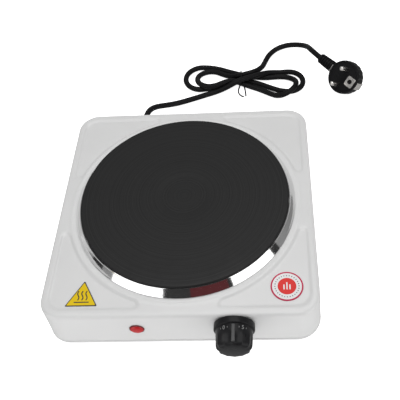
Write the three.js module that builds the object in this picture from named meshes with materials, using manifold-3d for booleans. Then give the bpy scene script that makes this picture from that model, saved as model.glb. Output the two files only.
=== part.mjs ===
// Single electric hot plate: a drawn steel housing that carries a cast-iron heating plate,
// a thermostat worked by a knob on the front wall, a pilot lamp and a mains cord with its plug.
//
// Millimetres, +Z up, the table at Z = 0. X runs along the front wall and -Y faces the user.
// Every piece is one closed solid in its own named mesh.

import * as THREE from 'three';
import { mergeVertices } from 'three/addons/utils/BufferGeometryUtils.js';
import Module from 'manifold-3d';

const wasm = await Module();
wasm.setup();

// ---------------------------------------------------------------------------------------
// Driving dimensions
// ---------------------------------------------------------------------------------------
const GAP = 0.3;                 // clearance between pieces that touch
const SLIDE = 0.4;               // radial clearance round a screw, shaft or pin

const HOUSING_WIDTH = 226;       // across the side walls, just under the top edge
const HOUSING_DEPTH = 226;       // front wall to back wall, just under the top edge
const HOUSING_TOP = 55;          // height of the top panel
const HOUSING_BOTTOM = 13;       // height of the lower edge of the walls
const HOUSING_CORNER = 19;       // corner radius in plan
const HOUSING_EDGE = 7;          // rounding between the top panel and the walls
const HOUSING_FLARE = 2;         // how far each wall leans out by its lower edge
const SHEET = 1;                 // steel sheet of the housing

const PANEL_DEPTH = 1.2;         // recess of the four corner panels
const PANEL_INSET = 5;           // from the wall plane to a corner panel
const PANEL_WAIST = 30;          // the panels stop this far from the centre line
const PANEL_TIP = 31;            // and this far from the other centre line
const PANEL_CORNER = 13;         // corner radius of a panel

const COVER_SHEET = 1;           // bottom cover
const COVER_RAISE = 1.5;         // cover above the lower edge of the walls
const COVER_CLEARANCE = 0.6;     // cover to walls
const LUG_SHEET = 1.5;           // corner lugs that take the foot screws
const LUG_REACH = 34;            // leg of a corner lug
const SLOT_COUNT = 7;            // vent slots in each of the two rows
const SLOT_PITCH = 14;
const SLOT_LENGTH = 34;
const SLOT_WIDTH = 3.2;
const SLOT_ROW = 58;             // row centre from the middle of the cover

const FOOT_INSET = 22;           // foot axis from the wall plane
const FOOT_TOP_RADIUS = 10;
const FOOT_SOLE_RADIUS = 8;
const FOOT_SCREW_RADIUS = 1.75;
const SCREW_HEAD_RADIUS = 3.4;
const SCREW_HEAD = 2.2;

const PLATE_RADIUS = 92.5;
const PLATE_RISE = 9.4;          // top of the plate above the top panel
const PLATE_RIM = 8;             // height of the plate's outer rim
const PLATE_SKIRT = 13.5;        // height of that body
const PLATE_BEVEL = 1.4;
const DISH_RADIUS = 25;          // shallow dish in the middle of the plate
const DISH_DEPTH = 0.5;
const GROOVE_DEPTH = 8;          // groove for the heating coil
const GROOVE_MARGIN = 6;         // groove beyond the coil's inner turn
const TRIM_SHEET = 0.6;          // polished trim ring

// The round parts keep their places against the rim of the plate.
const OPENING_RADIUS = PLATE_RADIUS - 6.5;      // round opening of the housing
const PLATE_SKIRT_RADIUS = PLATE_RADIUS - 8.5;  // the body of the plate, inside the opening
const TRIM_SEAT_RADIUS = PLATE_RADIUS - 4;
const TRIM_FOOT_RADIUS = PLATE_RADIUS + 4.9;
const RING_RADIUS = PLATE_RADIUS + 11;          // raised ring of the housing round the trim

const COIL_OUTER = PLATE_SKIRT_RADIUS - 11;     // heating coil: two spiral turns
const COIL_INNER = COIL_OUTER - 21;
const COIL_TURNS = 2;
const COIL_RADIUS = 2.5;
const SHIELD_SHEET = 1;          // cover under the coil
const SHIELD_DROP = 0.4;
const STUD_RADIUS = 2.9;
const BAR_WIDTH = 22;            // clamp bar under the plate
const BAR_SHEET = 2;
const BAR_DROP = 14;             // from the housing's top sheet down to the bar
const BAR_FLANGE = 10;
const NUT_HEIGHT = 5;
const NUT_RADIUS = 5.8;
const WASHER = 0.8;
const WASHER_RADIUS = 7.5;
const PLATE_BLOCK = { width: 16, length: 36, height: 8.5 };
const PLATE_PIN_RADIUS = 1.6;
const PLATE_PIN_HEAD = 2.2;

const KNOB_X = 44.6;             // knob axis
const KNOB_Z = 42;
const KNOB_STANDOFF = 0.6;       // knob flange to the wall at their closest
const KNOB_FLANGE_RADIUS = 16.6;
const KNOB_FLANGE = 5.8;
const KNOB_LENGTH = 22;
const GRIP_RADIUS = 14.4;
const GRIP_FLUTES = 12;
const GRIP_FLUTE_DEPTH = 0.7;
const KNOB_HOLLOW_RADIUS = 14.6;
const KNOB_HOLLOW = 3.4;
const HUB_RADIUS = 5.2;
const SHAFT_RADIUS = 3;
const SHAFT_IN_KNOB = 15;
const POINTER_WIDTH = 2.4;

const THERMOSTAT = { width: 27, height: 17, depth: 12 };
const THERMOSTAT_DROP = 2;       // thermostat centre below the shaft
const BRACKET = { width: 32, height: 20, sheet: 1.2 };
const MOUNT_SCREW_OFFSET = 10;
const MOUNT_SCREW_RADIUS = 1.5;
const BUSHING_RADIUS = 4.4;
const BUSHING_DEPTH = 4.5;
const SPADE = { sheet: 0.8, width: 6.3, length: 12, offset: 12.4, drop: 2 };
const RIVET_RADIUS = 1.2;
const RIVET_HEAD_RADIUS = 2.2;
const RIVET_HEAD = 1.4;

const LAMP_X = -35.2;            // pilot lamp axis
const LAMP_Z = 36;
const LAMP_RIM_RADIUS = 6.1;
const LAMP_NECK_RADIUS = 4.6;
const LAMP_PROUD = 1.9;
const LAMP_DEPTH = 18;

const CORD_RADIUS = 3;
const CORD_X = -56;              // where the cord leaves the back wall
const CORD_Z = 22;
const RELIEF_LENGTH = 26;
const RELIEF_ROOT_RADIUS = 6.2;
const RELIEF_TIP_RADIUS = 4.4;
const HANK_HEIGHT = 15;
const HANK_RADIUS = 22.5;
const WIRE_RADIUS = 1.1;
const WIRE_END = 0.9;            // a wire's end to the piece it connects

const PLUG_FACE = new THREE.Vector3(161, 191, 0);   // plan place of the middle of the plug's face
const PLUG_TILT = 39;            // the pins point this many degrees above the table
const PLUG_TURN = 230;           // and towards this heading
const PLUG_RADIUS = 19;
const PLUG_PIN_RADIUS = 2.4;
const PLUG_PIN_LENGTH = 19;
const PLUG_PIN_OFFSET = 9.5;
const PLUG_PIN_ROOT = 8;         // the pins and the earth sleeve reach this far into the body
const EARTH_SLEEVE = 14;
const PLUG_BODY = 25;            // depth of the plug behind its face
const BOOT_LENGTH = 22;
const BOOT_TURN = 124;           // heading of the plug's boot
const EARTH_CLIP = { width: 8, depth: 15, sheet: 1.2 };
const EARTH_SOCKET_RADIUS = 3.2;
const EARTH_SOCKET_OFFSET = 10;
const TIE_RADIUS = 0.8;

const BLOCK_Y = 84;              // terminal block behind the cord's entry
const BLOCK = { width: 30, depth: 16, height: 12 };
const WELL_RADIUS = 2.2;
const WELL_PITCH = 10;
const WELL_FLOOR = 4;
const EARTH_X = -92;             // earth stud on the bottom cover
const EARTH_Y = 40;
const EARTH_STUD = { radius: 1.7, head: 4, sheet: 1.2, top: 20 };
const EARTH_NUT_RADIUS = 3.6;

const LABEL = 0.3;               // label thickness
const LABEL_GAP = 0.05;
const TRIANGLE_LABEL = [-79, -92.5];
const DISC_LABEL = [87.4, -87.8];
const TRIANGLE_SIDE = 26.5;
const DISC_LABEL_RADIUS = 13.2;

// Heights and places that follow from the driving dimensions
const PLATE_TOP = HOUSING_TOP + PLATE_RISE;
const GROOVE_OUTER = PLATE_SKIRT_RADIUS - 4;
const GROOVE_INNER = COIL_INNER - GROOVE_MARGIN;
const COVER_BOTTOM = HOUSING_BOTTOM + COVER_RAISE;
const COVER_TOP = COVER_BOTTOM + COVER_SHEET;
const LUG_BOTTOM = COVER_TOP + GAP;
const LUG_TOP = LUG_BOTTOM + LUG_SHEET;
const TOP_UNDERSIDE = HOUSING_TOP - SHEET;
const PANEL_FLOOR = HOUSING_TOP - PANEL_DEPTH;
const TRIM_SEAT = HOUSING_TOP + GAP;
const PLATE_RIM_BOTTOM = PLATE_TOP - PLATE_RIM;
const PLATE_SKIRT_BOTTOM = PLATE_TOP - PLATE_SKIRT;
const GROOVE_TOP = PLATE_SKIRT_BOTTOM + GROOVE_DEPTH;
const COIL_Z = PLATE_SKIRT_BOTTOM + GROOVE_DEPTH / 2;
const SHIELD_TOP = PLATE_SKIRT_BOTTOM - SHIELD_DROP;
const SHIELD_BOTTOM = SHIELD_TOP - SHIELD_SHEET;
const BAR_TOP = TOP_UNDERSIDE - BAR_DROP;
const BAR_BOTTOM = BAR_TOP - BAR_SHEET;
const STUD_BOTTOM = BAR_BOTTOM - WASHER - NUT_HEIGHT - 3;
const KNOB_Y = -(HOUSING_DEPTH / 2 + flareAt(KNOB_Z - KNOB_FLANGE_RADIUS) + KNOB_STANDOFF);
const KNOB_REACH = -KNOB_Y + KNOB_LENGTH;
const BACK_REACH = HOUSING_DEPTH / 2 + HOUSING_FLARE;

// ---------------------------------------------------------------------------------------
// Materials
// ---------------------------------------------------------------------------------------
function material(color, roughness, metalness = 0) {
  return new THREE.MeshStandardMaterial({ color, roughness, metalness });
}

const enamel = material(0xe2e2e0, 0.35);
const castIron = material(0x2b2b2d, 0.7, 0.3);
const polished = material(0xd9d9d9, 0.1, 1);
const zinc = material(0xb9bcc0, 0.4, 1);
const brass = material(0xc9a24a, 0.3, 1);
const copper = material(0xb87333, 0.4, 1);
const blackPlastic = material(0x151515, 0.4);
const blackRubber = material(0x1a1a1a, 0.75);
const ceramic = material(0xe9e4d8, 0.6);
const redLens = material(0xb3191d, 0.2);
const glass = material(0xdfe7ea, 0.05);
const yellowLabel = material(0xf2c511, 0.5);
const whiteLabel = material(0xf4f4f4, 0.5);
const brownWire = material(0x6b3a1e, 0.6);
const blueWire = material(0x2657a8, 0.6);
const greenWire = material(0x5c9e2e, 0.6);

// ---------------------------------------------------------------------------------------
// Shared geometry
// ---------------------------------------------------------------------------------------
function asSolid(geometry) {
  const bare = new THREE.BufferGeometry();
  bare.setAttribute('position', geometry.attributes.position.clone());
  if (geometry.index) bare.setIndex(geometry.index.clone());
  const welded = mergeVertices(bare, 1e-4);
  return new wasm.Manifold(new wasm.Mesh({
    numProp: 3,
    vertProperties: new Float32Array(welded.attributes.position.array),
    triVerts: new Uint32Array(welded.index.array),
  }));
}

function asGeometry(solid) {
  const mesh = solid.getMesh();
  const geometry = new THREE.BufferGeometry();
  geometry.setAttribute('position', new THREE.BufferAttribute(mesh.vertProperties, 3));
  geometry.setIndex(new THREE.BufferAttribute(mesh.triVerts, 1));
  return geometry;
}

function cut(geometry, ...tools) {
  const rest = tools.reduce((solid, tool) => solid.subtract(asSolid(tool)), asSolid(geometry));
  return asGeometry(rest);
}

function join(geometry, ...others) {
  return asGeometry(others.reduce((solid, other) => solid.add(asSolid(other)), asSolid(geometry)));
}

function overlap(geometry, other) {
  return asGeometry(asSolid(geometry).intersect(asSolid(other)));
}

function box(width, depth, bottom, top, x = 0, y = 0) {
  const geometry = new THREE.BoxGeometry(width, depth, top - bottom);
  return geometry.translate(x, y, (bottom + top) / 2);
}

function rod(radius, bottom, top, x = 0, y = 0, sides = 16) {
  const geometry = new THREE.CylinderGeometry(radius, radius, top - bottom, sides);
  return geometry.rotateX(Math.PI / 2).translate(x, y, (bottom + top) / 2);
}

// Solid of revolution about Z. Each point is [radius, height]; the outline runs from the axis
// back to the axis, or closes on itself. A clockwise outline is reversed, so faces point out.
function turned(outline, sides) {
  const points = outline.map(([radius, height]) => new THREE.Vector2(radius, height));
  if (THREE.ShapeUtils.isClockWise(points)) points.reverse();
  return new THREE.LatheGeometry(points, sides).rotateX(Math.PI / 2);
}

function turnedRing(outline, sides) {
  return turned([...outline, outline[0]], sides);
}

function extruded(shape, bottom, top, curveSegments = 6) {
  const options = { depth: top - bottom, bevelEnabled: false, curveSegments };
  return new THREE.ExtrudeGeometry(shape, options).translate(0, 0, bottom);
}

function roundedRectangle(width, depth, radius) {
  const x = width / 2 - radius;
  const y = depth / 2 - radius;
  const shape = new THREE.Shape();
  shape.absarc(x, y, radius, 0, Math.PI / 2);
  shape.absarc(-x, y, radius, Math.PI / 2, Math.PI);
  shape.absarc(-x, -y, radius, Math.PI, 1.5 * Math.PI);
  shape.absarc(x, -y, radius, 1.5 * Math.PI, 2 * Math.PI);
  return shape;
}

function circle(radius, sides, phase = 0) {
  const points = [];
  for (let i = 0; i < sides; i += 1) {
    const angle = phase + (2 * Math.PI * i) / sides;
    points.push(new THREE.Vector2(radius * Math.cos(angle), radius * Math.sin(angle)));
  }
  return new THREE.Shape(points);
}

function rectangle(width, height) {
  return new THREE.Shape([
    new THREE.Vector2(-width / 2, -height / 2),
    new THREE.Vector2(width / 2, -height / 2),
    new THREE.Vector2(width / 2, height / 2),
    new THREE.Vector2(-width / 2, height / 2),
  ]);
}

function swept(section, curve, steps) {
  return new THREE.ExtrudeGeometry(section, { steps, extrudePath: curve, bevelEnabled: false });
}

function tube(points, radius, sides, steps) {
  const curve = new THREE.CatmullRomCurve3(points.map((p) => new THREE.Vector3(...p)), false,
    'centripetal');
  return swept(circle(radius, sides), curve, steps);
}

// ---------------------------------------------------------------------------------------
// Assembly helpers
// ---------------------------------------------------------------------------------------
const part = new THREE.Group();
part.position.y = (KNOB_REACH - BACK_REACH) / 2;

function piece(name, geometry, look, parent = part) {
  const mesh = new THREE.Mesh(geometry, look);
  mesh.name = name;
  parent.add(mesh);
  return mesh;
}

// A group whose +Z points out of the front wall and whose +Y points up.
function frontGroup(x, y, z) {
  const group = new THREE.Group();
  group.position.set(x, y, z);
  group.rotation.x = Math.PI / 2;
  part.add(group);
  return group;
}

// The four quarters of the housing, for what repeats in each corner.
const CORNERS = [
  ['front_left', -1, -1],
  ['front_right', 1, -1],
  ['back_left', -1, 1],
  ['back_right', 1, 1],
];

// ---------------------------------------------------------------------------------------
// Housing
// ---------------------------------------------------------------------------------------
// How far the walls have leaned out at a height.
function flareAt(height) {
  const start = HOUSING_TOP - HOUSING_EDGE;
  return (HOUSING_FLARE * Math.max(0, start - height)) / (start - HOUSING_BOTTOM);
}

// The drawn block, with its rounded top edge and leaning walls, shrunk by an inset.
function drawnBlock(inset, bottom) {
  const edge = HOUSING_EDGE - inset;
  const outline = roundedRectangle(HOUSING_WIDTH - 2 * inset, HOUSING_DEPTH - 2 * inset,
    HOUSING_CORNER - inset);
  const top = HOUSING_TOP - inset;
  const block = new THREE.ExtrudeGeometry(outline, {
    depth: top - bottom - 2 * edge,
    bevelEnabled: true,
    bevelThickness: edge,
    bevelSize: edge,
    bevelOffset: -edge,
    bevelSegments: 3,
    curveSegments: 5,
  }).translate(0, 0, bottom + edge);
  const position = block.attributes.position;
  for (let i = 0; i < position.count; i += 1) {
    const lean = flareAt(position.getZ(i));
    position.setX(i, position.getX(i) + Math.sign(position.getX(i)) * lean);
    position.setY(i, position.getY(i) + Math.sign(position.getY(i)) * lean);
  }
  return block;
}

// One corner panel of the top: two straight sides along the walls, the raised ring's arc
// inside, and short ends at the waist and at the tip.
function panelShape(signX, signY, inset) {
  const side = HOUSING_WIDTH / 2 - PANEL_INSET - inset;
  const end = HOUSING_DEPTH / 2 - PANEL_INSET - inset;
  const ring = RING_RADIUS + inset;
  const waist = PANEL_WAIST + inset;
  const tip = PANEL_TIP + inset;
  const corner = PANEL_CORNER - inset;
  const points = [];
  const arcStart = Math.asin((waist + 3) / ring);
  const arcEnd = Math.acos((tip + 1) / ring);
  for (let i = 0; i <= 8; i += 1) {
    const angle = arcStart + ((arcEnd - arcStart) * i) / 8;
    points.push([ring * Math.cos(angle), ring * Math.sin(angle)]);
  }
  points.push([tip, (ring * Math.sin(arcEnd) + end) / 2], [tip + 4, end]);
  for (let i = 0; i <= 4; i += 1) {
    const angle = (Math.PI / 2) * (1 - i / 4);
    points.push([side - corner + corner * Math.cos(angle), end - corner + corner * Math.sin(angle)]);
  }
  points.push([side, waist + 3], [side - 3, waist], [ring * Math.cos(arcStart) + 2, waist]);
  return new THREE.Shape(points.map(([x, y]) => new THREE.Vector2(signX * x, signY * y)));
}

function panelPocket(signX, signY) {
  return new THREE.ExtrudeGeometry(panelShape(signX, signY, PANEL_DEPTH), {
    depth: PANEL_DEPTH,
    bevelEnabled: true,
    bevelThickness: PANEL_DEPTH,
    bevelSize: PANEL_DEPTH,
    bevelSegments: 1,
  }).translate(0, 0, HOUSING_TOP);
}

function cornerLug(signX, signY) {
  const x = HOUSING_WIDTH / 2 - SHEET / 2;
  const y = HOUSING_DEPTH / 2 - SHEET / 2;
  const lug = new THREE.Shape([
    new THREE.Vector2(signX * x, signY * y),
    new THREE.Vector2(signX * (x - LUG_REACH), signY * y),
    new THREE.Vector2(signX * (x - LUG_REACH), signY * (y - 12)),
    new THREE.Vector2(signX * (x - 12), signY * (y - LUG_REACH)),
    new THREE.Vector2(signX * x, signY * (y - LUG_REACH)),
  ]);
  return overlap(extruded(lug, LUG_BOTTOM, LUG_TOP), drawnBlock(SHEET / 2, 0));
}

function footPlace(signX, signY) {
  return [signX * (HOUSING_WIDTH / 2 - FOOT_INSET), signY * (HOUSING_DEPTH / 2 - FOOT_INSET)];
}

function housing() {
  const span = HOUSING_WIDTH + HOUSING_DEPTH;
  const outside = cut(drawnBlock(0, HOUSING_BOTTOM - 20), box(span, span, -30, HOUSING_BOTTOM));
  const pads = CORNERS.map(([, signX, signY]) => extruded(
    panelShape(signX, signY, -SHEET), PANEL_FLOOR - SHEET, HOUSING_TOP - SHEET / 2));
  const shell = join(cut(outside, drawnBlock(SHEET, HOUSING_BOTTOM - 20)),
    ...pads.map((pad) => overlap(pad, drawnBlock(SHEET / 2, 0))),
    ...CORNERS.map(([, signX, signY]) => cornerLug(signX, signY)));
  const holes = CORNERS.map(([, signX, signY]) => rod(FOOT_SCREW_RADIUS + GAP, LUG_BOTTOM - 1,
    LUG_TOP + 1, ...footPlace(signX, signY), 12));
  const wallHole = (radius, x, y, z) => rod(radius, -8, 8, 0, 0, 20).rotateX(Math.PI / 2)
    .translate(x, y, z);
  const front = -HOUSING_DEPTH / 2;
  return cut(shell,
    ...CORNERS.map(([, signX, signY]) => panelPocket(signX, signY)),
    ...holes,
    rod(OPENING_RADIUS, HOUSING_TOP - 5, HOUSING_TOP + 5, 0, 0, 48),
    wallHole(BUSHING_RADIUS + SLIDE, KNOB_X, front, KNOB_Z),
    wallHole(MOUNT_SCREW_RADIUS + SLIDE, KNOB_X - MOUNT_SCREW_OFFSET, front, KNOB_Z),
    wallHole(MOUNT_SCREW_RADIUS + SLIDE, KNOB_X + MOUNT_SCREW_OFFSET, front, KNOB_Z),
    wallHole(LAMP_NECK_RADIUS + SLIDE, LAMP_X, front, LAMP_Z),
    wallHole(RELIEF_ROOT_RADIUS - 1 + SLIDE, CORD_X, -front, CORD_Z));
}

function bottomCover() {
  const inset = SHEET + COVER_CLEARANCE - flareAt(COVER_TOP);
  const outline = roundedRectangle(HOUSING_WIDTH - 2 * inset, HOUSING_DEPTH - 2 * inset,
    HOUSING_CORNER - SHEET - COVER_CLEARANCE);
  for (let i = 0; i < SLOT_COUNT; i += 1) {
    const x = (i - (SLOT_COUNT - 1) / 2) * SLOT_PITCH;
    for (const y of [-SLOT_ROW, SLOT_ROW]) {
      const slot = new THREE.Path();
      const half = (SLOT_LENGTH - SLOT_WIDTH) / 2;
      slot.absarc(x, y + half, SLOT_WIDTH / 2, 0, Math.PI);
      slot.absarc(x, y - half, SLOT_WIDTH / 2, Math.PI, 2 * Math.PI);
      outline.holes.push(slot);
    }
  }
  for (const [, signX, signY] of CORNERS) {
    const [x, y] = footPlace(signX, signY);
    const hole = new THREE.Path();
    hole.absarc(x, y, FOOT_SCREW_RADIUS + GAP, 0, 2 * Math.PI);
    outline.holes.push(hole);
  }
  return extruded(outline, COVER_BOTTOM, COVER_TOP, 3);
}

function foot() {
  const top = COVER_BOTTOM - GAP;
  const seat = top - 4;
  return turnedRing([
    [FOOT_SCREW_RADIUS + GAP, top],
    [FOOT_TOP_RADIUS, top],
    [FOOT_TOP_RADIUS, top - 2],
    [FOOT_SOLE_RADIUS, 1],
    [FOOT_SOLE_RADIUS - 1, 0],
    [SCREW_HEAD_RADIUS + GAP, 0],
    [SCREW_HEAD_RADIUS + GAP, seat],
    [FOOT_SCREW_RADIUS + GAP, seat],
  ], 14);
}

function footScrew() {
  const seat = COVER_BOTTOM - GAP - 4 - GAP;
  return turned([
    [0, seat - SCREW_HEAD],
    [SCREW_HEAD_RADIUS - 0.8, seat - SCREW_HEAD],
    [SCREW_HEAD_RADIUS, seat - SCREW_HEAD + 0.8],
    [SCREW_HEAD_RADIUS, seat],
    [FOOT_SCREW_RADIUS, seat],
    [FOOT_SCREW_RADIUS, LUG_TOP + 4],
    [0, LUG_TOP + 6],
  ], 12);
}

piece('housing', housing(), enamel);
piece('bottom_cover', bottomCover(), zinc);
for (const [corner, signX, signY] of CORNERS) {
  const [x, y] = footPlace(signX, signY);
  piece(`foot_${corner}`, foot(), blackRubber).position.set(x, y, 0);
  piece(`foot_screw_${corner}`, footScrew(), zinc).position.set(x, y, 0);
}

// ---------------------------------------------------------------------------------------
// Heating plate
// ---------------------------------------------------------------------------------------
class SpiralCurve extends THREE.Curve {
  constructor(innerRadius, outerRadius, turns, height, overrun = 0) {
    super();
    Object.assign(this, { innerRadius, outerRadius, turns, height, overrun });
  }

  getPoint(t, target = new THREE.Vector3()) {
    const along = t * (1 + 2 * this.overrun) - this.overrun;
    const radius = this.innerRadius + (this.outerRadius - this.innerRadius) * along;
    const angle = Math.PI / 2 + 2 * Math.PI * this.turns * along;
    return target.set(radius * Math.cos(angle), radius * Math.sin(angle), this.height);
  }
}

function heatingPlate() {
  const boreTop = PLATE_SKIRT_BOTTOM + 7;
  return turned([
    [0, PLATE_TOP - DISH_DEPTH],
    [DISH_RADIUS - 1, PLATE_TOP - DISH_DEPTH],
    [DISH_RADIUS, PLATE_TOP],
    [PLATE_RADIUS - PLATE_BEVEL, PLATE_TOP],
    [PLATE_RADIUS, PLATE_TOP - PLATE_BEVEL],
    [PLATE_RADIUS, PLATE_RIM_BOTTOM],
    [PLATE_SKIRT_RADIUS, PLATE_RIM_BOTTOM],
    [PLATE_SKIRT_RADIUS, PLATE_SKIRT_BOTTOM],
    [GROOVE_OUTER, PLATE_SKIRT_BOTTOM],
    [GROOVE_OUTER, GROOVE_TOP],
    [GROOVE_INNER, GROOVE_TOP],
    [GROOVE_INNER, PLATE_SKIRT_BOTTOM],
    [STUD_RADIUS + SLIDE, PLATE_SKIRT_BOTTOM],
    [STUD_RADIUS + SLIDE, boreTop],
    [0, boreTop],
  ], 48);
}

function trimRing() {
  const top = PLATE_TOP - PLATE_BEVEL - 0.2;
  const lip = PLATE_RADIUS + GAP;
  return turnedRing([
    [TRIM_SEAT_RADIUS, TRIM_SEAT],
    [TRIM_FOOT_RADIUS, TRIM_SEAT],
    [lip + TRIM_SHEET, top - 0.6],
    [lip + TRIM_SHEET / 2, top],
    [lip, top - 0.4],
    [TRIM_FOOT_RADIUS - TRIM_SHEET * 1.6, TRIM_SEAT + TRIM_SHEET],
    [TRIM_SEAT_RADIUS, TRIM_SEAT + TRIM_SHEET],
  ], 48);
}

function heatingCoil() {
  const path = new SpiralCurve(COIL_INNER, COIL_OUTER, COIL_TURNS, COIL_Z);
  return swept(circle(COIL_RADIUS, 8), path, 24 * COIL_TURNS);
}

// The insulating fill of the groove, open downwards along the coil.
function coilFiller() {
  const bottom = PLATE_SKIRT_BOTTOM + GAP;
  const ring = turnedRing([
    [GROOVE_INNER + GAP, bottom],
    [GROOVE_OUTER - GAP, bottom],
    [GROOVE_OUTER - GAP, GROOVE_TOP - GAP],
    [GROOVE_INNER + GAP, GROOVE_TOP - GAP],
  ], 36);
  const half = COIL_RADIUS + GAP;
  const deep = COIL_Z - bottom + 2;
  const height = half + deep;
  const path = new SpiralCurve(COIL_INNER, COIL_OUTER, COIL_TURNS, COIL_Z + (half - deep) / 2, 0.02);
  const facets = 1.4;            // the coil and its channel are faceted at different angles
  return cut(ring, swept(rectangle(height, 2 * half + facets), path, 24 * COIL_TURNS));
}

function plateShield() {
  const disc = new THREE.Shape();
  disc.absarc(0, 0, PLATE_SKIRT_RADIUS - 1, 0, 2 * Math.PI);
  for (const [x, y, radius] of [
    [0, 0, STUD_RADIUS + SLIDE],
    [0, COIL_INNER, PLATE_PIN_RADIUS + SLIDE],
    [0, COIL_OUTER, PLATE_PIN_RADIUS + SLIDE],
  ]) {
    const hole = new THREE.Path();
    hole.absarc(x, y, radius, 0, 2 * Math.PI);
    disc.holes.push(hole);
  }
  return extruded(disc, SHIELD_BOTTOM, SHIELD_TOP, 12);
}

function clampBar() {
  const leg = OPENING_RADIUS + 2;
  const top = TOP_UNDERSIDE - GAP;
  const profile = new THREE.Shape([
    new THREE.Vector2(-leg - BAR_FLANGE, top),
    new THREE.Vector2(-leg - BAR_FLANGE, top - BAR_SHEET),
    new THREE.Vector2(-leg - BAR_SHEET, top - BAR_SHEET),
    new THREE.Vector2(-leg - BAR_SHEET, BAR_BOTTOM),
    new THREE.Vector2(leg + BAR_SHEET, BAR_BOTTOM),
    new THREE.Vector2(leg + BAR_SHEET, top - BAR_SHEET),
    new THREE.Vector2(leg + BAR_FLANGE, top - BAR_SHEET),
    new THREE.Vector2(leg + BAR_FLANGE, top),
    new THREE.Vector2(leg, top),
    new THREE.Vector2(leg, BAR_TOP),
    new THREE.Vector2(-leg, BAR_TOP),
    new THREE.Vector2(-leg, top),
  ]);
  const bar = extruded(profile, -BAR_WIDTH / 2, BAR_WIDTH / 2).rotateX(Math.PI / 2);
  return cut(bar, rod(STUD_RADIUS + SLIDE, BAR_BOTTOM - 5, BAR_TOP + 5));
}

function ringPlate(outer, inner, bottom, top, outerSides = 24, innerSides = 16) {
  const shape = circle(outer, outerSides, Math.PI / outerSides);
  shape.holes.push(circle(inner, innerSides));
  return extruded(shape, bottom, top);
}

function plateTerminalBlock() {
  const top = SHIELD_BOTTOM - GAP;
  const middle = (COIL_INNER + COIL_OUTER) / 2;
  const length = Math.max(PLATE_BLOCK.length, COIL_OUTER - COIL_INNER + 12);
  const block = box(PLATE_BLOCK.width, length, top - PLATE_BLOCK.height, top, 0, middle);
  const pinHole = (y) => rod(PLATE_PIN_RADIUS + SLIDE, top - PLATE_BLOCK.height - 1, top + 1, 0, y);
  return cut(block, pinHole(COIL_INNER), pinHole(COIL_OUTER));
}

// A pin that hangs from the end of the coil, with a head under the terminal block.
function platePin() {
  const head = SHIELD_BOTTOM - 2 * GAP - PLATE_BLOCK.height;
  return turned([
    [0, head - PLATE_PIN_HEAD],
    [3, head - PLATE_PIN_HEAD],
    [3, head],
    [PLATE_PIN_RADIUS, head],
    [PLATE_PIN_RADIUS, COIL_Z - COIL_RADIUS - GAP],
    [0, COIL_Z - COIL_RADIUS - GAP],
  ], 12);
}

piece('heating_plate', heatingPlate(), castIron);
piece('trim_ring', trimRing(), polished);
piece('heating_coil', heatingCoil(), zinc);
piece('coil_filler', coilFiller(), ceramic);
piece('plate_shield', plateShield(), zinc);
piece('plate_stud', rod(STUD_RADIUS, STUD_BOTTOM, PLATE_SKIRT_BOTTOM + 6), zinc);
piece('clamp_bar', clampBar(), zinc);
piece('clamp_washer', ringPlate(WASHER_RADIUS, STUD_RADIUS + SLIDE,
  BAR_BOTTOM - GAP - WASHER, BAR_BOTTOM - GAP), zinc);
piece('clamp_nut', ringPlate(NUT_RADIUS, STUD_RADIUS + SLIDE,
  BAR_BOTTOM - 2 * GAP - WASHER - NUT_HEIGHT, BAR_BOTTOM - 2 * GAP - WASHER, 6), zinc);
piece('plate_terminal_block', plateTerminalBlock(), ceramic);
piece('plate_terminal_inner', platePin(), brass).position.y = COIL_INNER;
piece('plate_terminal_outer', platePin(), brass).position.y = COIL_OUTER;

// ---------------------------------------------------------------------------------------
// Knob and thermostat, in a group whose +Z runs along the shaft towards the user
// ---------------------------------------------------------------------------------------
const wallInside = KNOB_Y + HOUSING_DEPTH / 2 - SHEET;      // along the shaft, from the knob's back
const bracketFront = wallInside - GAP - 0.8;
const bracketBack = bracketFront - BRACKET.sheet;
const bodyFront = bracketBack - GAP;
const bodyBack = bodyFront - THERMOSTAT.depth;
const bladeZ = bodyBack - 3;
const springZ = bodyBack - 6;
const rivetX = -9;
const contactX = 9;
const bladeY = -THERMOSTAT_DROP - 3;

function knob() {
  const step = KNOB_FLANGE;
  const gripEnd = KNOB_LENGTH - 1.5;
  const grip = new THREE.Shape();
  const count = GRIP_FLUTES * 3;
  for (let i = 0; i <= count; i += 1) {
    const angle = (2 * Math.PI * i) / count;
    const radius = GRIP_RADIUS - GRIP_FLUTE_DEPTH * (0.5 - 0.5 * Math.cos(angle * GRIP_FLUTES));
    const x = radius * Math.sin(angle);
    const y = radius * Math.cos(angle);
    if (i === 0) grip.moveTo(x, y);
    else grip.lineTo(x, y);
  }
  const fluted = new THREE.ExtrudeGeometry(grip, {
    depth: gripEnd - step + 1,
    bevelEnabled: true,
    bevelThickness: 1.5,
    bevelSize: 1.2,
    bevelOffset: -1.2,
    bevelSegments: 2,
  }).translate(0, 0, step - 1);
  const flange = turned([
    [0, 0],
    [KNOB_FLANGE_RADIUS - 0.5, 0],
    [KNOB_FLANGE_RADIUS, 0.5],
    [KNOB_FLANGE_RADIUS, step - 0.8],
    [KNOB_FLANGE_RADIUS - 0.8, step],
    [0, step],
  ], 36);
  const pointer = box(POINTER_WIDTH, 3, step - 1, KNOB_LENGTH - 5, 0, GRIP_RADIUS - 1);
  const hollow = turnedRing([
    [HUB_RADIUS, -1],
    [KNOB_HOLLOW_RADIUS, -1],
    [KNOB_HOLLOW_RADIUS, KNOB_HOLLOW],
    [HUB_RADIUS, KNOB_HOLLOW],
  ], 32);
  const bore = rod(SHAFT_RADIUS + SLIDE, -1, SHAFT_IN_KNOB + GAP);
  return cut(join(flange, fluted, pointer), hollow, bore);
}

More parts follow.
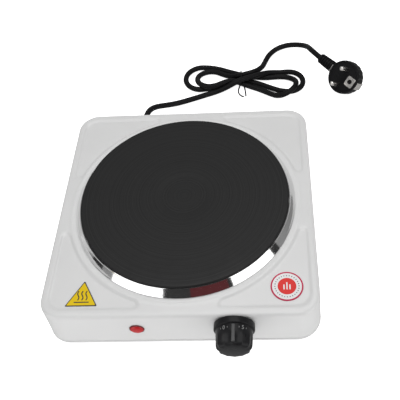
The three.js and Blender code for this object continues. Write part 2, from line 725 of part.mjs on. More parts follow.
// The split spring ring that grips the knob's hub round the shaft.
function knobSpringClip() {
  const inner = HUB_RADIUS + GAP;
  const outer = inner + 0.7;
  const opening = 0.5;
  const ring = new THREE.Shape();
  ring.absarc(0, 0, outer, opening, 2 * Math.PI - opening);
  ring.absarc(0, 0, inner, 2 * Math.PI - opening, opening, true);
  return extruded(ring, 0.6, KNOB_HOLLOW - 0.6, 12);
}

function thermostatShaft() {
  const flat = box(2 * SHAFT_RADIUS, 2, GAP, SHAFT_IN_KNOB + 1, 0, SHAFT_RADIUS + 0.4);
  return cut(rod(SHAFT_RADIUS, bladeZ + GAP, SHAFT_IN_KNOB), flat);
}

function thermostatBody() {
  const block = box(THERMOSTAT.width, THERMOSTAT.height, bodyBack, bodyFront, 0, -THERMOSTAT_DROP);
  const screwHole = (x) => rod(MOUNT_SCREW_RADIUS + SLIDE, bodyFront - 5, bodyFront + 1, x);
  return cut(block,
    rod(BUSHING_RADIUS + GAP, bodyFront - 5, bodyFront + 1),
    rod(SHAFT_RADIUS + SLIDE, bodyBack - 1, bodyFront),
    screwHole(-MOUNT_SCREW_OFFSET), screwHole(MOUNT_SCREW_OFFSET));
}

function thermostatBracket() {
  const plate = box(BRACKET.width, BRACKET.height, bracketBack, bracketFront, 0, -THERMOSTAT_DROP - 1);
  const hole = (radius, x) => rod(radius, bracketBack - 1, bracketFront + 1, x);
  return cut(plate, hole(BUSHING_RADIUS + GAP, 0),
    hole(MOUNT_SCREW_RADIUS + SLIDE, -MOUNT_SCREW_OFFSET),
    hole(MOUNT_SCREW_RADIUS + SLIDE, MOUNT_SCREW_OFFSET));
}

function mountScrew() {
  const head = KNOB_Y + HOUSING_DEPTH / 2 + flareAt(KNOB_Z - 3) + GAP;
  return turned([
    [0, bodyFront - 4],
    [MOUNT_SCREW_RADIUS, bodyFront - 4],
    [MOUNT_SCREW_RADIUS, head],
    [2.9, head],
    [2.4, head + 1.6],
    [0, head + 1.6],
  ], 12);
}

// A leaf spring behind the thermostat, held by the rivet at its left end.
function leaf(thickness, height, z) {
  const strip = box(2 * contactX + 6, height, z - thickness, z, 0, bladeY);
  return cut(strip, rod(RIVET_RADIUS + SLIDE, z - thickness - 1, z + 1, rivetX, bladeY, 12));
}

function rivet() {
  const head = springZ - RIVET_RADIUS;
  return turned([
    [0, head - RIVET_HEAD],
    [RIVET_HEAD_RADIUS, head - RIVET_HEAD],
    [RIVET_HEAD_RADIUS, head],
    [RIVET_RADIUS, head],
    [RIVET_RADIUS, bodyBack - GAP],
    [0, bodyBack - GAP],
  ], 12);
}

const knobGroup = frontGroup(KNOB_X, KNOB_Y, KNOB_Z);
piece('knob', knob(), blackPlastic, knobGroup);
piece('knob_spring_clip', knobSpringClip(), zinc, knobGroup);
piece('thermostat_shaft', thermostatShaft(), brass, knobGroup);
piece('thermostat_bushing', ringPlate(BUSHING_RADIUS, SHAFT_RADIUS + GAP,
  bodyFront - BUSHING_DEPTH, -KNOB_STANDOFF, 20), brass, knobGroup);
piece('thermostat_bracket', thermostatBracket(), zinc, knobGroup);
piece('thermostat_body', thermostatBody(), ceramic, knobGroup);
piece('thermostat_screw_left', mountScrew(), zinc, knobGroup).position.x = -MOUNT_SCREW_OFFSET;
piece('thermostat_screw_right', mountScrew(), zinc, knobGroup).position.x = MOUNT_SCREW_OFFSET;
piece('bimetal_blade', leaf(0.8, 6, bladeZ), brass, knobGroup);
piece('contact_spring', leaf(0.5, 5, springZ), copper, knobGroup);
piece('contact_rivet', rivet(), zinc, knobGroup).position.set(rivetX, bladeY, 0);
for (const [name, side] of [['thermostat_terminal_in', -1], ['thermostat_terminal_out', 1]]) {
  const tab = box(SPADE.sheet, SPADE.width, bodyBack - SPADE.length, bodyBack - GAP,
    side * SPADE.offset, -THERMOSTAT_DROP - SPADE.drop);
  piece(name, tab, brass, knobGroup);
}

// ---------------------------------------------------------------------------------------
// Pilot lamp, in a group whose +Z points out of the front wall
// ---------------------------------------------------------------------------------------
function lampLens() {
  return turned([
    [0, LAMP_PROUD],
    [LAMP_RIM_RADIUS * 0.6, LAMP_PROUD * 0.9],
    [LAMP_RIM_RADIUS * 0.92, LAMP_PROUD * 0.55],
    [LAMP_RIM_RADIUS, GAP],
    [LAMP_NECK_RADIUS, GAP],
    [LAMP_NECK_RADIUS, -LAMP_DEPTH],
    [LAMP_NECK_RADIUS - 1.2, -LAMP_DEPTH],
    [LAMP_NECK_RADIUS - 1.2, -1],
    [0, -1],
  ], 24);
}

function neonBulb() {
  const radius = LAMP_NECK_RADIUS - 1.2 - 2 * GAP;
  return turned([
    [0, -2],
    [radius * 0.7, -2.6],
    [radius, -4],
    [radius, -LAMP_DEPTH + 3],
    [0, -LAMP_DEPTH + 3],
  ], 14);
}

const lampY = -HOUSING_DEPTH / 2 - flareAt(LAMP_Z - LAMP_RIM_RADIUS);
const lampGroup = frontGroup(LAMP_X, lampY, LAMP_Z);
const lampWall = lampY + HOUSING_DEPTH / 2 - SHEET;
piece('lamp_lens', lampLens(), redLens, lampGroup);
piece('neon_bulb', neonBulb(), glass, lampGroup);
piece('lamp_retainer', ringPlate(LAMP_NECK_RADIUS + 2.6, LAMP_NECK_RADIUS + GAP,
  lampWall - 2 - GAP, lampWall - GAP, 20, 20), zinc, lampGroup);

// ---------------------------------------------------------------------------------------
// Mains cord, its strain relief, its hank and its plug
// ---------------------------------------------------------------------------------------
const backWall = HOUSING_DEPTH / 2 + flareAt(CORD_Z - RELIEF_ROOT_RADIUS);

// Route of the cord from inside the housing to the hank, and from the hank to the plug.
const LEAD_POINTS = [
  [CORD_X, 98, CORD_Z],
  [CORD_X, 116, CORD_Z],
  [CORD_X, 132, CORD_Z],
  [CORD_X, 139, CORD_Z],
  [-55.6, 146.2, 21.6],
  [-54.2, 153.8, 19.8],
  [-51.6, 161.4, 16.4],
  [-47.3, 168, 12.4],
  [-41.4, 173.3, 8.6],
  [-34.3, 177.7, 5.7],
  [-26.6, 181.5, 3.9],
  [-18.5, 185, 3.2],
  [-10.3, 188.2, 3.1],
  [-2.1, 191.4, 3.1],
  [6.1, 194.7, 3.1],
];
const TAIL_POINTS = [
  [63, 226.2, 8.6],
  [67.8, 231.3, 7.2],
  [71.4, 237.8, 5.4],
  [73.9, 245, 4],
  [76.2, 252.3, 3.2],
  [79.2, 259.4, 3.1],
  [83.6, 265.8, 3.3],
  [89.5, 270.9, 3.9],
  [96.6, 273.9, 4.8],
  [104.2, 274.6, 6.1],
  [111.6, 272.6, 7.9],
  [118, 268.6, 10.4],
  [122.6, 262.9, 13.7],
  [125.6, 256.4, 17.3],
  [127.5, 249.6, 20.5],
  [129.6, 242.6, 23],
  [132.7, 235.8, 24.4],
  [136.9, 229.3, 24.5],
  [141.17, 224.5, 23.73],
];

const HANK_LEFT = [0, 223];
const HANK_RIGHT = [98, 208];

function hankSolid() {
  const [x0, y0] = HANK_LEFT;
  const [x1, y1] = HANK_RIGHT;
  const turn = Math.atan2(y1 - y0, x1 - x0);
  const shape = new THREE.Shape();
  shape.absarc(x0, y0, HANK_RADIUS, turn + Math.PI / 2, turn + 1.5 * Math.PI);
  shape.absarc(x1, y1, HANK_RADIUS, turn - Math.PI / 2, turn + Math.PI / 2);
  return extruded(shape, 0, HANK_HEIGHT, 12);
}

function strainRelief() {
  const inside = SHEET + 3;
  return turnedRing([
    [CORD_RADIUS + SLIDE, -inside],
    [RELIEF_ROOT_RADIUS, -inside],
    [RELIEF_ROOT_RADIUS, -inside + 1.4],
    [RELIEF_ROOT_RADIUS - 1, -inside + 1.4],
    [RELIEF_ROOT_RADIUS - 1, GAP],
    [RELIEF_ROOT_RADIUS + 1, GAP],
    [RELIEF_ROOT_RADIUS + 1, 2.5],
    [RELIEF_ROOT_RADIUS, 3.5],
    [RELIEF_TIP_RADIUS, RELIEF_LENGTH],
    [CORD_RADIUS + SLIDE, RELIEF_LENGTH],
  ], 20).rotateX(-Math.PI / 2);
}

piece('strain_relief', strainRelief(), blackRubber).position.set(CORD_X, backWall, CORD_Z);
piece('cord_lead', tube(LEAD_POINTS, CORD_RADIUS, 10, 24), blackRubber);
piece('cord_tail', tube(TAIL_POINTS, CORD_RADIUS, 10, 22), blackRubber);
piece('cord_hank', cut(hankSolid(), tube(LEAD_POINTS, CORD_RADIUS + GAP, 10, 24),
  tube(TAIL_POINTS, CORD_RADIUS + GAP, 10, 22)), blackRubber);

// The slim wire that ties the hank round its waist, with its two twisted ends.
function twistTie() {
  const [x0, y0] = HANK_LEFT;
  const [x1, y1] = HANK_RIGHT;
  const along = new THREE.Vector3(x1 - x0, y1 - y0, 0).normalize();
  const across = new THREE.Vector3(-along.y, along.x, 0);
  const middle = new THREE.Vector3((x0 + x1) / 2, (y0 + y1) / 2, 0);
  const near = HANK_RADIUS + GAP + TIE_RADIUS;
  const high = HANK_HEIGHT + GAP + TIE_RADIUS;
  const at = (side, height, slip = 0) => middle.clone().addScaledVector(across, side * near)
    .addScaledVector(along, slip).setZ(height);
  const curve = new THREE.CatmullRomCurve3([
    at(1, TIE_RADIUS), at(1.02, high * 0.5), at(1.05, high * 0.97), at(0.98, high * 1.06),
    at(0, high),
    at(-0.98, high * 1.06), at(-1.05, high * 0.97), at(-1.04, high * 0.4), at(-1.35, TIE_RADIUS, 3),
  ], false, 'centripetal');
  return swept(circle(TIE_RADIUS, 6), curve, 30);
}

piece('twist_tie', twistTie(), blackPlastic);

// The plug stands in a group with its pins along +Z, its boot along +X and its face at Z = 0.
const PLUG_OUTLINE = [
  [0, -PLUG_BODY],
  [PLUG_RADIUS * 0.55, -PLUG_BODY],
  [PLUG_RADIUS * 0.8, -PLUG_BODY * 0.88],
  [PLUG_RADIUS * 0.95, -PLUG_BODY * 0.62],
  [PLUG_RADIUS, -PLUG_BODY * 0.42],
  [PLUG_RADIUS, -1],
  [PLUG_RADIUS - 1, 0],
  [0, 0],
];
const BOOT_DEPTH = PLUG_BODY * 0.45;

// Height of the face's middle that lets the lowest point of the tilted body touch the table.
const plugTilt = THREE.MathUtils.degToRad(PLUG_TILT);
const PLUG_LIFT = Math.max(...PLUG_OUTLINE.map(
  ([radius, depth]) => -depth * Math.sin(plugTilt) + radius * Math.cos(plugTilt)));

function plugBody() {
  const body = turned(PLUG_OUTLINE, 28);
  const boot = turned([
    [0, PLUG_RADIUS - 4],
    [7, PLUG_RADIUS - 4],
    [6.2, PLUG_RADIUS + 4],
    [4.8, PLUG_RADIUS + BOOT_LENGTH],
    [0, PLUG_RADIUS + BOOT_LENGTH],
  ], 16).rotateY(Math.PI / 2).translate(0, 0, -BOOT_DEPTH);
  const clipSlot = (side) => box(EARTH_CLIP.sheet + 2 * GAP + 3, EARTH_CLIP.width + 2 * GAP,
    -EARTH_CLIP.depth - GAP, 1, side * (PLUG_RADIUS - EARTH_CLIP.sheet / 2 + 1), 0);
  return cut(join(body, boot),
    rod(PLUG_PIN_RADIUS + GAP, -PLUG_PIN_ROOT, 1, 0, PLUG_PIN_OFFSET),
    rod(PLUG_PIN_RADIUS + GAP, -PLUG_PIN_ROOT, 1, 0, -PLUG_PIN_OFFSET),
    rod(EARTH_SOCKET_RADIUS + GAP, -EARTH_SLEEVE, 1, -EARTH_SOCKET_OFFSET, 0, 16),
    rod(CORD_RADIUS + GAP, PLUG_RADIUS + BOOT_LENGTH - 4, PLUG_RADIUS + BOOT_LENGTH + 2)
      .rotateY(Math.PI / 2).translate(0, 0, -BOOT_DEPTH),
    clipSlot(1), clipSlot(-1));
}

function plugPin() {
  return turned([
    [0, -PLUG_PIN_ROOT + GAP],
    [PLUG_PIN_RADIUS, -PLUG_PIN_ROOT + GAP],
    [PLUG_PIN_RADIUS, PLUG_PIN_LENGTH - 1.4],
    [PLUG_PIN_RADIUS * 0.55, PLUG_PIN_LENGTH],
    [0, PLUG_PIN_LENGTH],
  ], 16);
}

function earthClip() {
  return box(EARTH_CLIP.sheet, EARTH_CLIP.width, -EARTH_CLIP.depth, -1);
}

// The earth contact of the plug: a sleeve open to the face.
function earthSocket() {
  return turnedRing([
    [EARTH_SOCKET_RADIUS - 0.7, -EARTH_SLEEVE + GAP],
    [EARTH_SOCKET_RADIUS, -EARTH_SLEEVE + GAP],
    [EARTH_SOCKET_RADIUS, -0.2],
    [EARTH_SOCKET_RADIUS - 0.7, -0.2],
  ], 16);
}

const plugTurn = THREE.MathUtils.degToRad(PLUG_TURN);
const plugAxis = new THREE.Vector3(
  Math.cos(plugTilt) * Math.cos(plugTurn), Math.cos(plugTilt) * Math.sin(plugTurn),
  Math.sin(plugTilt));
const bootHeading = THREE.MathUtils.degToRad(BOOT_TURN);
const bootFlat = new THREE.Vector3(Math.cos(bootHeading), Math.sin(bootHeading), 0);
const bootAxis = bootFlat.addScaledVector(plugAxis, -bootFlat.dot(plugAxis)).normalize();
const plugSide = new THREE.Vector3().crossVectors(plugAxis, bootAxis);
const plugGroup = new THREE.Group();
plugGroup.quaternion.setFromRotationMatrix(
  new THREE.Matrix4().makeBasis(bootAxis, plugSide, plugAxis));
plugGroup.position.set(PLUG_FACE.x, PLUG_FACE.y, PLUG_LIFT);
part.add(plugGroup);

piece('plug_body', plugBody(), blackRubber, plugGroup);
for (const [name, side] of [['plug_pin_1', 1], ['plug_pin_2', -1]]) {
  piece(name, plugPin(), polished, plugGroup).position.y = side * PLUG_PIN_OFFSET;
}
for (const [name, side] of [['plug_earth_clip_1', 1], ['plug_earth_clip_2', -1]]) {
  piece(name, earthClip(), polished, plugGroup).position.x = side * (PLUG_RADIUS - 0.6);
}
piece('plug_earth_socket', earthSocket(), polished, plugGroup).position.x = -EARTH_SOCKET_OFFSET;

// ---------------------------------------------------------------------------------------
// Wiring inside the housing
// ---------------------------------------------------------------------------------------
const BLOCK_BOTTOM = COVER_TOP + GAP;
const BLOCK_TOP = BLOCK_BOTTOM + BLOCK.height;
const blockFront = BLOCK_Y - BLOCK.depth / 2;
const wireZ = BLOCK_BOTTOM + BLOCK.height / 2;

function terminalBlock() {
  const block = box(BLOCK.width, BLOCK.depth, BLOCK_BOTTOM, BLOCK_TOP, CORD_X, BLOCK_Y);
  const wells = [-WELL_PITCH, 0, WELL_PITCH].map((x) => rod(WELL_RADIUS,
    BLOCK_BOTTOM + WELL_FLOOR, BLOCK_TOP + 1, CORD_X + x, BLOCK_Y));
  return cut(block, ...wells);
}

piece('terminal_block', terminalBlock(), ceramic);

// Wires run in free space and stop a clearance short of what they connect.
const tabEnd = (side) => [KNOB_X + side * SPADE.offset,
  KNOB_Y - (bodyBack - SPADE.length) + GAP + WIRE_RADIUS, KNOB_Z - THERMOSTAT_DROP - SPADE.drop];
const [outX, outY, outZ] = tabEnd(1);
const pinFoot = SHIELD_BOTTOM - 2 * GAP - PLATE_BLOCK.height - PLATE_PIN_HEAD - GAP;
const WIRES = [
  ['live_wire', brownWire, [
    [CORD_X + WELL_PITCH, blockFront - WIRE_END, wireZ], [CORD_X + 14, 40, wireZ - 2],
    [-30, -30, 19], [10, -62, 22], [tabEnd(-1)[0], -72, 30], tabEnd(-1)]],
  ['switched_wire', brownWire, [
    [outX, outY, outZ], [outX + 2, -70, 30],
    [50, -30, 22], [40, 20, 20], [14, COIL_INNER - 6, 26], [0, COIL_INNER, pinFoot - 5],
    [0, COIL_INNER, pinFoot]]],
  ['neutral_wire', blueWire, [
    [CORD_X, blockFront - WIRE_END, wireZ], [CORD_X + 3, 66, wireZ + 4], [-38, 58, 29],
    [-12, 68, 27], [-1, COIL_OUTER, pinFoot - 6], [0, COIL_OUTER, pinFoot]]],
  ['earth_wire', greenWire, [
    [CORD_X - WELL_PITCH, blockFront - WIRE_END, wireZ], [CORD_X - 14, 64, wireZ - 1], [-84, 58, 20],
    [EARTH_X, EARTH_Y + 6, 21], [EARTH_X, EARTH_Y, 21 + GAP]]],
  ['lamp_wire', blueWire, [
    [LAMP_X, lampY + LAMP_DEPTH + 2, LAMP_Z], [LAMP_X - 4, -82, 32], [-52, -50, 20],
    [-70, 10, 18], [-66, 60, wireZ], [CORD_X - 4, blockFront - WIRE_END, wireZ + 3]]],
];
for (const [name, look, points] of WIRES) {
  piece(name, tube(points, WIRE_RADIUS, 6, 16), look);
}

const earthSeat = COVER_TOP + GAP + EARTH_STUD.sheet;

function earthStud() {
  return turned([
    [0, COVER_TOP + GAP],
    [EARTH_STUD.head, COVER_TOP + GAP],
    [EARTH_STUD.head, earthSeat],
    [EARTH_STUD.radius, earthSeat],
    [EARTH_STUD.radius, EARTH_STUD.top],
    [0, EARTH_STUD.top],
  ], 12);
}

piece('earth_stud', earthStud(), zinc).position.set(EARTH_X, EARTH_Y, 0);
piece('earth_nut', ringPlate(EARTH_NUT_RADIUS, EARTH_STUD.radius + SLIDE,
  earthSeat + GAP, earthSeat + GAP + 2.2, 6, 12), zinc).position.set(EARTH_X, EARTH_Y, 0);

// ---------------------------------------------------------------------------------------
// Labels on the two front panels
// ---------------------------------------------------------------------------------------
function triangleLabel() {
  const half = TRIANGLE_SIDE / 2;
  const height = half * 1.53;
  const shape = new THREE.Shape([
    new THREE.Vector2(-half, -height / 2),
    new THREE.Vector2(half, -height / 2),
    new THREE.Vector2(0, height / 2),
  ]);
  return extruded(shape, 0, LABEL);
}

piece('heat_label', triangleLabel(), yellowLabel)
  .position.set(TRIANGLE_LABEL[0], TRIANGLE_LABEL[1], PANEL_FLOOR + LABEL_GAP);
piece('rating_label', extruded(circle(DISC_LABEL_RADIUS, 40), 0, LABEL), whiteLabel)
  .position.set(DISC_LABEL[0], DISC_LABEL[1], PANEL_FLOOR + LABEL_GAP);

export default part;
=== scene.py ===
"""Looks for the single electric hot plate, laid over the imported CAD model.

Sizes are in the part's own millimetres: X and Y from the middle of the housing, Z from the
table. at() turns them into the shared frame.
"""

import math

import bpy
from mathutils import Matrix, Vector


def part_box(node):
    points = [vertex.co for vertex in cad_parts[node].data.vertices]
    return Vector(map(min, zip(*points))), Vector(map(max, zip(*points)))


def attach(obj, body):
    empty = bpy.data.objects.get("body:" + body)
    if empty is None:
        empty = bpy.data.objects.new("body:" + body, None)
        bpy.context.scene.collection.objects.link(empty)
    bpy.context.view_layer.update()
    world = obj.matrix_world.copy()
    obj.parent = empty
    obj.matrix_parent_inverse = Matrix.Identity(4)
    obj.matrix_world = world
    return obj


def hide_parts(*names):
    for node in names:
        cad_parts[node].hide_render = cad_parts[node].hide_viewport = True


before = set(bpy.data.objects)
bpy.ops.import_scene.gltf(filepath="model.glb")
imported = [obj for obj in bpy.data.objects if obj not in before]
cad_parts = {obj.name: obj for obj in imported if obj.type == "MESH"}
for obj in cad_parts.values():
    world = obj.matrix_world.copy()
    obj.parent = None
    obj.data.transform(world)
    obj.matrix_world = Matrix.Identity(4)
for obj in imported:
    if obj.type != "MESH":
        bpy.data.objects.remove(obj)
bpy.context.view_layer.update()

MM = 0.001


def middle(node, axis):
    """Middle of a CAD node along an axis, in metres."""
    low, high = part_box(node)
    return (low[axis] + high[axis]) / 2


SHIFT = middle("heating_plate", 1)   # where the middle of the housing lies along Y


def at(x, y, z):
    """A place in part millimetres, in the shared frame."""
    return Vector((x * MM, y * MM + SHIFT, z * MM))


# ----------------------------------------------------------------------------------------
# Camera
# ----------------------------------------------------------------------------------------
CAMERA_PLACE = (0.0738, -0.3181, 0.4862)
CAMERA_ELEVATION = 52.53      # degrees above the table
CAMERA_YAW = 5.09
CAMERA_ROLL = -5.54
CAMERA_LENS = 54.58
CAMERA_SHIFT = -0.0875


def make_camera():
    elevation, yaw, roll = (math.radians(a)
                            for a in (CAMERA_ELEVATION, CAMERA_YAW, CAMERA_ROLL))
    back = Vector((math.sin(yaw) * math.cos(elevation),
                   -math.cos(yaw) * math.cos(elevation),
                   math.sin(elevation)))
    level = (-back).cross(Vector((0, 0, 1))).normalized()
    above = level.cross(-back)
    right = math.cos(roll) * level + math.sin(roll) * above
    up = -math.sin(roll) * level + math.cos(roll) * above
    data = bpy.data.cameras.new("camera")
    data.lens = CAMERA_LENS
    data.sensor_width = 36
    data.shift_x = CAMERA_SHIFT
    data.clip_start = 0.01
    camera = bpy.data.objects.new("camera", data)
    turn = Matrix((right, up, back)).transposed().to_4x4()
    camera.matrix_world = Matrix.Translation(CAMERA_PLACE) @ turn
    bpy.context.scene.collection.objects.link(camera)
    bpy.context.scene.camera = camera


make_camera()


# ----------------------------------------------------------------------------------------
# Materials
# ----------------------------------------------------------------------------------------
NOISE_LOW, NOISE_HIGH = 0.3, 0.7            # a noise texture seldom leaves this range
COLOUR_A, COLOUR_B, COLOUR_OUT = 6, 7, 2    # the Mix node's sockets for colours


class Graph:
    """A material's nodes, added one by one."""

    def __init__(self, name):
        self.material = bpy.data.materials.new(name)
        self.material.use_nodes = True
        self.tree = self.material.node_tree
        self.shader = self.tree.nodes["Principled BSDF"]

    def add(self, kind, **values):
        node = self.tree.nodes.new(kind)
        for key, value in values.items():
            setattr(node, key, value)
        return node

    def link(self, source, target):
        self.tree.links.new(source, target)

    def coordinates(self):
        return self.add("ShaderNodeTexCoord").outputs["Object"]

    def noise(self, where, scale, detail=3.0, squeeze=(1, 1, 1)):
        mapping = self.add("ShaderNodeMapping")
        mapping.inputs["Scale"].default_value = squeeze
        self.link(where, mapping.inputs["Vector"])
        noise = self.add("ShaderNodeTexNoise")
        noise.inputs["Scale"].default_value = scale
        noise.inputs["Detail"].default_value = detail
        self.link(mapping.outputs["Vector"], noise.inputs["Vector"])
        return noise.outputs["Fac"]

    def spread(self, value, low, high):
        ramp = self.add("ShaderNodeMapRange")
        ramp.inputs["From Min"].default_value = NOISE_LOW
        ramp.inputs["From Max"].default_value = NOISE_HIGH
        ramp.inputs["To Min"].default_value = low
        ramp.inputs["To Max"].default_value = high
        self.link(value, ramp.inputs["Value"])
        return ramp.outputs["Result"]

    def mix(self, value, low, high):
        mix = self.add("ShaderNodeMix", data_type="RGBA")
        self.link(value, mix.inputs["Factor"])
        mix.inputs[COLOUR_A].default_value = (*low, 1)
        mix.inputs[COLOUR_B].default_value = (*high, 1)
        return mix.outputs[COLOUR_OUT]

    def bump(self, height, strength, distance):
        bump = self.add("ShaderNodeBump")
        bump.inputs["Strength"].default_value = strength
        bump.inputs["Distance"].default_value = distance
        self.link(height, bump.inputs["Height"])
        self.link(bump.outputs["Normal"], self.shader.inputs["Normal"])

    def set(self, **values):
        for key, value in values.items():
            self.shader.inputs[key.replace("_", " ")].default_value = value


def surface(name, low, high, rough, metallic=0.0, patch=45.0, grain=900.0, relief=0.15,
            depth=0.0001, squeeze=(1, 1, 1), **more):
    """Colour and roughness drift over patches, and a fine grain stands in relief."""
    graph = Graph(name)
    where = graph.coordinates()
    drift = graph.spread(graph.noise(where, patch, squeeze=squeeze), 0.0, 1.0)
    graph.link(graph.mix(drift, low, high), graph.shader.inputs["Base Color"])
    graph.link(graph.spread(graph.noise(where, patch * 4), *rough),
               graph.shader.inputs["Roughness"])
    graph.bump(graph.noise(where, grain, 4.0, squeeze), relief, depth)
    graph.set(Metallic=metallic, **more)
    return graph.material


def turned_surface(name, low, high, rough, metallic, pitch, relief, depth, **more):
    """A face cut on a lathe: the grain runs in rings round the object's own Z."""
    graph = Graph(name)
    flat = graph.add("ShaderNodeVectorMath", operation="MULTIPLY")
    flat.inputs[1].default_value = (1, 1, 0)
    where = graph.coordinates()
    graph.link(where, flat.inputs[0])
    radius = graph.add("ShaderNodeVectorMath", operation="LENGTH")
    graph.link(flat.outputs["Vector"], radius.inputs[0])
    rings = graph.add("ShaderNodeTexNoise", noise_dimensions="1D")
    rings.inputs["Scale"].default_value = 1 / pitch
    rings.inputs["Detail"].default_value = 2.0
    graph.link(radius.outputs["Value"], rings.inputs["W"])
    graph.link(graph.mix(graph.spread(rings.outputs["Fac"], 0.0, 1.0), low, high),
               graph.shader.inputs["Base Color"])
    graph.link(graph.spread(graph.noise(where, 60.0), *rough), graph.shader.inputs["Roughness"])
    graph.bump(rings.outputs["Fac"], relief, depth)
    graph.set(Metallic=metallic, **more)
    return graph.material


ENAMEL = surface("enamel", (0.668, 0.668, 0.666), (0.698, 0.698, 0.696), (0.30, 0.38),
                 patch=18, grain=700, relief=0.05, Coat_Weight=0.25, Coat_Roughness=0.12)
IRON = turned_surface("cast_iron", (0.0095, 0.0095, 0.0097), (0.015, 0.015, 0.0152),
                      (0.40, 0.50), 0.0, 0.0012, 0.6, 0.00008, Specular_IOR_Level=0.22)
POLISHED = surface("polished_steel", (0.80, 0.80, 0.80), (0.86, 0.86, 0.86), (0.05, 0.10),
                   1.0, patch=30, grain=300, relief=0.006)
ZINC = surface("zinc_steel", (0.50, 0.51, 0.52), (0.62, 0.63, 0.64), (0.3, 0.45), 1.0,
               patch=160, relief=0.1)
BRASS = surface("brass", (0.62, 0.45, 0.16), (0.72, 0.55, 0.24), (0.25, 0.4), 1.0)
NICKEL = surface("nickel", (0.62, 0.60, 0.58), (0.75, 0.73, 0.70), (0.16, 0.28), 1.0)
KNOB_BLACK = surface("knob_plastic", (0.010, 0.010, 0.011), (0.016, 0.016, 0.017),
                     (0.26, 0.36), grain=1800, relief=0.12, Specular_IOR_Level=0.13)
RIDGE_GREY = surface("ridge_grey", (0.035, 0.035, 0.036), (0.05, 0.05, 0.051), (0.35, 0.45))
MARK_GREY = surface("mark_grey", (0.22, 0.22, 0.22), (0.30, 0.30, 0.30), (0.4, 0.5))
RUBBER = surface("foot_rubber", (0.012, 0.012, 0.012), (0.022, 0.022, 0.022), (0.6, 0.75),
                 grain=1200, relief=0.3, Specular_IOR_Level=0.2)
CORD_BLACK = surface("cord_black", (0.006, 0.006, 0.0065), (0.011, 0.011, 0.0115),
                     (0.34, 0.44), grain=1400, relief=0.2, Specular_IOR_Level=0.07)
CERAMIC = surface("ceramic", (0.70, 0.66, 0.58), (0.80, 0.77, 0.70), (0.5, 0.65),
                  grain=1100, relief=0.3)
LAMP_RED = surface("lamp_red", (0.40, 0.008, 0.012), (0.50, 0.014, 0.018), (0.14, 0.24),
                   Specular_IOR_Level=0.4)
LAMP_RIM = surface("lamp_rim", (0.10, 0.006, 0.008), (0.16, 0.010, 0.012), (0.25, 0.35))
GLASS = surface("clear_glass", (0.85, 0.88, 0.88), (0.92, 0.94, 0.94), (0.03, 0.08),
                Transmission_Weight=0.9)
WIRE_BROWN = surface("wire_brown", (0.10, 0.032, 0.012), (0.15, 0.05, 0.02), (0.45, 0.55))
WIRE_BLUE = surface("wire_blue", (0.012, 0.07, 0.30), (0.02, 0.10, 0.40), (0.45, 0.55))
WIRE_GREEN = surface("wire_green", (0.10, 0.26, 0.02), (0.50, 0.48, 0.03), (0.45, 0.55),
                     patch=120)
YELLOW = surface("label_yellow", (0.72, 0.50, 0.002), (0.78, 0.55, 0.004), (0.4, 0.5),
                 Specular_IOR_Level=0.2)
WHITE = surface("label_white", (0.72, 0.72, 0.72), (0.80, 0.80, 0.80), (0.35, 0.45))
CRIMSON = surface("label_crimson", (0.46, 0.010, 0.06), (0.54, 0.016, 0.08), (0.4, 0.5),
                  Specular_IOR_Level=0.2)
RED = surface("label_red", (0.66, 0.030, 0.028), (0.74, 0.045, 0.040), (0.4, 0.5),
              Specular_IOR_Level=0.2)
INK = surface("label_ink", (0.012, 0.012, 0.012), (0.02, 0.02, 0.02), (0.4, 0.5))


# ----------------------------------------------------------------------------------------
# Meshes
# ----------------------------------------------------------------------------------------
SHARP_ANGLE = math.radians(38)    # edges bent by more than this stay sharp


def new_piece(name, vertices, faces, look, body="base", place=None, smooth=True):
    """A mesh in its own frame. place puts it in the shared frame: a turn goes into the
    vertices, a plain shift stays on the object."""
    if place is not None and place.to_3x3() != Matrix.Identity(3):
        vertices = [place @ Vector(v) for v in vertices]
        place = None
    mesh = bpy.data.meshes.new(name)
    mesh.from_pydata([tuple(v) for v in vertices], [], faces)
    mesh.validate()
    mesh.materials.append(look)
    obj = bpy.data.objects.new(name, mesh)
    bpy.context.scene.collection.objects.link(obj)
    if place is not None:
        obj.matrix_world = place
    bpy.context.view_layer.update()
    if smooth:
        mesh.shade_smooth()
        mesh.set_sharp_from_angle(angle=SHARP_ANGLE)
    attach(obj, body)
    return obj


def rings_mesh(rings, close=False):
    """Vertices and faces that join rings of the same count. close joins last to first."""
    count = len(rings[0])
    vertices = [point for ring in rings for point in ring]
    faces = []
    last = len(rings) if close else len(rings) - 1
    for i in range(last):
        a = i * count
        b = ((i + 1) % len(rings)) * count
        for j in range(count):
            k = (j + 1) % count
            faces.append((a + j, a + k, b + k, b + j))
    return vertices, faces


def lathe(profile, sides, wobble=None):
    """Turns [radius, height] pairs round Z. Ends on the axis close with a fan; any other
    profile closes on itself. wobble(angle, index) takes a length off the radius."""
    open_ends = profile[0][0] == 0 and profile[-1][0] == 0
    body = profile[1:-1] if open_ends else profile
    rings = []
    for index, (radius, height) in enumerate(body):
        ring = []
        for j in range(sides):
            angle = 2 * math.pi * j / sides
            r = radius - (wobble(angle, index) if wobble else 0)
            ring.append((r * math.sin(angle) * MM, r * math.cos(angle) * MM, height * MM))
        rings.append(ring)
    vertices, faces = rings_mesh(rings, close=not open_ends)
    if open_ends:
        base = len(vertices)
        vertices += [(0, 0, profile[0][1] * MM), (0, 0, profile[-1][1] * MM)]
        end = (len(rings) - 1) * sides
        for j in range(sides):
            k = (j + 1) % sides
            faces.append((base, k, j))
            faces.append((base + 1, end + j, end + k))
    return vertices, faces


def frame_at(origin, axis, up):
    """A placement whose Z is axis and whose Y leans towards up."""
    z = Vector(axis).normalized()
    x = Vector(up).cross(z).normalized()
    y = z.cross(x)
    turn = Matrix((x, y, z)).transposed().to_4x4()
    return Matrix.Translation(origin) @ turn


FRONT = Vector((0, -1, 0))
UP = Vector((0, 0, 1))


